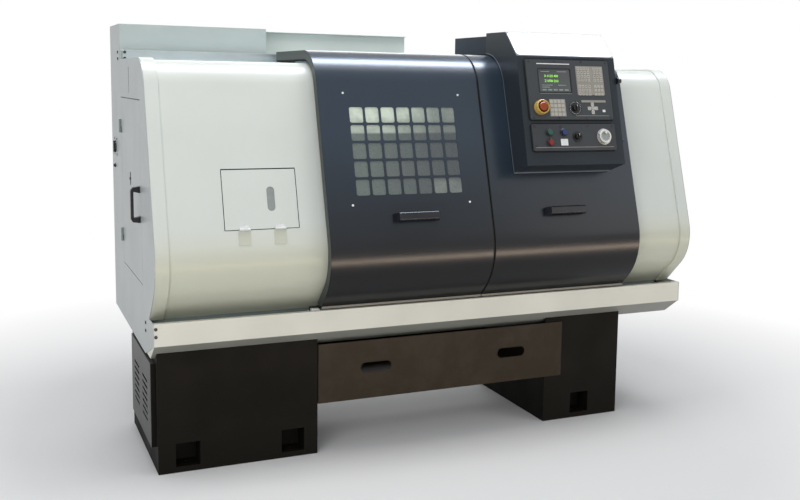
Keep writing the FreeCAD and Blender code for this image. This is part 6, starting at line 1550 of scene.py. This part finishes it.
# ---------------------------------------------------------------------------------------- the studio
@dataclass
class Studio:
    """White studio with soft lamps and the camera at the picture's viewpoint."""

    datum: Datum
    camera_at: tuple[float, float, float] = (-590.3, -3940.1, 1583.1)
    yaw: float = 24.495
    pitch: float = 7.119
    roll: float = 0.962
    focal_px: float = 1014.28
    centre_px: Point2 = (438.77, 207.98)
    picture: tuple[int, int] = (800, 500)
    sensor: float = 36.0
    sky: float = 0.44
    floor_half: float = 40.0
    floor_fade: Point2 = (1.7, 3.2)

    def camera(self) -> None:
        """Places the camera."""
        yaw, pitch, roll = (math.radians(a) for a in (self.yaw, self.pitch, self.roll))
        ahead = Vector((math.sin(yaw) * math.cos(pitch), math.cos(yaw) * math.cos(pitch), -math.sin(pitch)))
        level = Vector((math.cos(yaw), -math.sin(yaw), 0))
        upright = level.cross(ahead)
        right = level * math.cos(roll) + upright * math.sin(roll)
        up = upright * math.cos(roll) - level * math.sin(roll)
        data = bpy.data.cameras.new("camera")
        data.sensor_width = self.sensor
        width, height = self.picture
        data.lens = self.focal_px * self.sensor / width
        data.shift_x = -(self.centre_px[0] - width / 2) / width
        data.shift_y = (self.centre_px[1] - height / 2) / width
        data.clip_end = 60.0
        camera = linked("camera", data)
        camera.matrix_world = Matrix.Translation(self.datum.at(*self.camera_at)) @ Matrix(
            (right, up, -ahead)).transposed().to_4x4()
        bpy.context.scene.camera = camera

    def lamp(self, name: str, at: tuple[float, float, float], target: tuple[float, float, float],
             size: Point2, power: float, colour: str = "FFFFFF", sheen_only: bool = False) -> None:
        """Adds one soft box that faces a target.

        Args:
            name: the lamp's name.
            at: its place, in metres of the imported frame.
            target: the point that it faces.
            size: its width and height in metres.
            power: its power in watts.
            colour: its display colour.
            sheen_only: whether it shows in gloss alone.
        """
        data = bpy.data.lights.new(name, "AREA")
        data.shape = "RECTANGLE"
        data.size, data.size_y = size
        data.energy = power
        data.color = from_srgb(colour)[:3]
        lamp = linked(name, data)
        aim = (Vector(target) - Vector(at)).to_track_quat("-Z", "Y")
        lamp.matrix_world = Matrix.Translation(Vector(at)) @ aim.to_matrix().to_4x4()
        lamp.visible_diffuse = not sheen_only
        lamp.visible_camera = not sheen_only

    def world(self) -> None:
        """Makes the world white to the camera and in gloss and glass, and plain light elsewhere."""
        world = bpy.data.worlds.new("studio")
        bpy.context.scene.world = world
        world.use_nodes = True
        tree = world.node_tree
        sky = tree.nodes["Background"]
        sky.inputs["Color"].default_value = (0.95, 0.97, 1.0, 1)
        sky.inputs["Strength"].default_value = self.sky
        white = tree.nodes.new("ShaderNodeBackground")
        white.inputs["Strength"].default_value = 1.0
        white.inputs["Color"].default_value = (1, 1, 1, 1)
        mix = tree.nodes.new("ShaderNodeMixShader")
        tree.links.new(seen_rays(tree), mix.inputs["Fac"])
        tree.links.new(sky.outputs["Background"], mix.inputs[1])
        tree.links.new(white.outputs["Background"], mix.inputs[2])
        tree.links.new(mix.outputs["Shader"], tree.nodes["World Output"].inputs["Surface"])

    def floor(self) -> None:
        """Adds the pale floor, which fades to white away from the machine."""
        half = self.floor_half
        corners = [(-half, -half, 0), (half, -half, 0), (half, half, 0), (-half, half, 0)]
        data = bpy.data.meshes.new("floor")
        data.from_pydata(corners, [], [(0, 1, 2, 3)])
        floor = linked("floor", data)
        nodes = Nodes("studio_floor")
        nodes.feed("Base Color", (0.86, 0.86, 0.86, 1))
        nodes.feed("Roughness", 0.8)
        nodes.feed("Specular IOR Level", 0.0)
        coordinates = nodes.add("ShaderNodeTexCoord")
        reach = nodes.add("ShaderNodeVectorMath", operation="LENGTH")
        nodes.link(coordinates.outputs["Object"], reach.inputs[0])
        fade = nodes.spread(reach.outputs["Value"], 0.0, 1.0, *self.floor_fade)
        glow = nodes.add("ShaderNodeEmission")
        glow.inputs["Color"].default_value = (1, 1, 1, 1)
        mix = nodes.add("ShaderNodeMixShader")
        nodes.link(nodes.combine("MULTIPLY", fade, seen_rays(nodes.tree)), mix.inputs["Fac"])
        nodes.link(nodes.shader.outputs["BSDF"], mix.inputs[1])
        nodes.link(glow.outputs["Emission"], mix.inputs[2])
        nodes.link(mix.outputs["Shader"], nodes.tree.nodes["Material Output"].inputs["Surface"])
        data.materials.append(nodes.material)

    def light(self) -> None:
        """Sets up the lamps."""
        self.lamp("overhead", (0.0, -0.6, 4.2), (0.0, 0.1, 1.0), (4.5, 1.4), 72)
        self.lamp("front_left", (-3.2, -4.0, 2.6), (0.0, 0.0, 1.0), (2.4, 2.4), 60)
        self.lamp("front_right", (3.4, -3.6, 2.4), (0.3, 0.0, 0.9), (2.0, 2.4), 20)
        self.lamp("top_strip", (0.0, -0.17, 3.4), (0.0, -0.4, 1.6), (5.0, 0.6), 330, "DCE8FF", True)
        self.lamp("low_strip", (0.5, -2.4, 0.14), (0.5, -0.6, 0.8), (8.0, 0.24), 78, "FFE6CC", True)
        self.lamp("back", (0.5, 4.2, 3.0), (0.0, 0.2, 1.0), (4.0, 2.0), 60)

    def build(self) -> None:
        """Builds the whole studio."""
        bpy.context.scene.view_settings.view_transform = "Standard"
        self.world()
        self.floor()
        self.light()
        self.camera()


def seen_rays(tree: bpy.types.NodeTree) -> bpy.types.NodeSocket:
    """Returns 1 for camera, glossy and transmission rays, which show the background's white."""
    path = tree.nodes.new("ShaderNodeLightPath")
    total = path.outputs["Is Camera Ray"]
    for label in ("Is Glossy Ray", "Is Transmission Ray"):
        either = tree.nodes.new("ShaderNodeMath")
        either.operation = "MAXIMUM"
        tree.links.new(total, either.inputs[0])
        tree.links.new(path.outputs[label], either.inputs[1])
        total = either.outputs[0]
    return total


FASTENER_KINDS = {
    "dark_screw": (6.5, 3.0, Shop.knob, Shop.legend),
    "bright_screw": (4.6, 2.4, Shop.white_mark, Shop.screw),
    "panel_screw": (4.0, 1.8, Shop.knob, Shop.legend),
}


def main() -> None:
    """Builds every sub-assembly in order."""
    logging.basicConfig(level=logging.INFO, format="%(name)s %(message)s")
    datum = Datum.find()
    outline = CoverOutline()
    repeats = Repeats()
    fasteners = Fasteners(repeats)

    stand = Stand(datum, fasteners)
    stand.dress()
    stand.tray_rims()
    stand.vent_edge()
    stand.pan_screws()

    enclosure = Enclosure(datum, outline, fasteners)
    enclosure.dress()
    enclosure.screws()
    enclosure.flap_hinges()
    enclosure.stop_block()
    enclosure.plate_marks()
    enclosure.hinge_sleeves()
    enclosure.band_seams()

    doors = SlidingDoors(datum, outline, fasteners)
    doors.dress()
    doors.lips()
    doors.seam()
    doors.foot_trims()
    doors.window_screws()

    console = Console(datum, outline, repeats, fasteners)
    console.dress()
    console.hood()
    console.rims()
    console.screen()
    console.films()
    console.gaskets()
    console.key_legends()
    console.collars()
    console.knobs()
    console.side_knobs()
    console.screws()

    cabinet = Cabinet(datum, repeats, fasteners)
    cabinet.dress()
    cabinet.louvres()
    cabinet.screws()

    machinery = Machinery(datum, fasteners)
    machinery.dress()
    machinery.chuck_screws()
    machinery.clamp_lever()

    fasteners.grow(FASTENER_KINDS)
    Studio(datum).build()


if __name__ == "__main__":
    main()
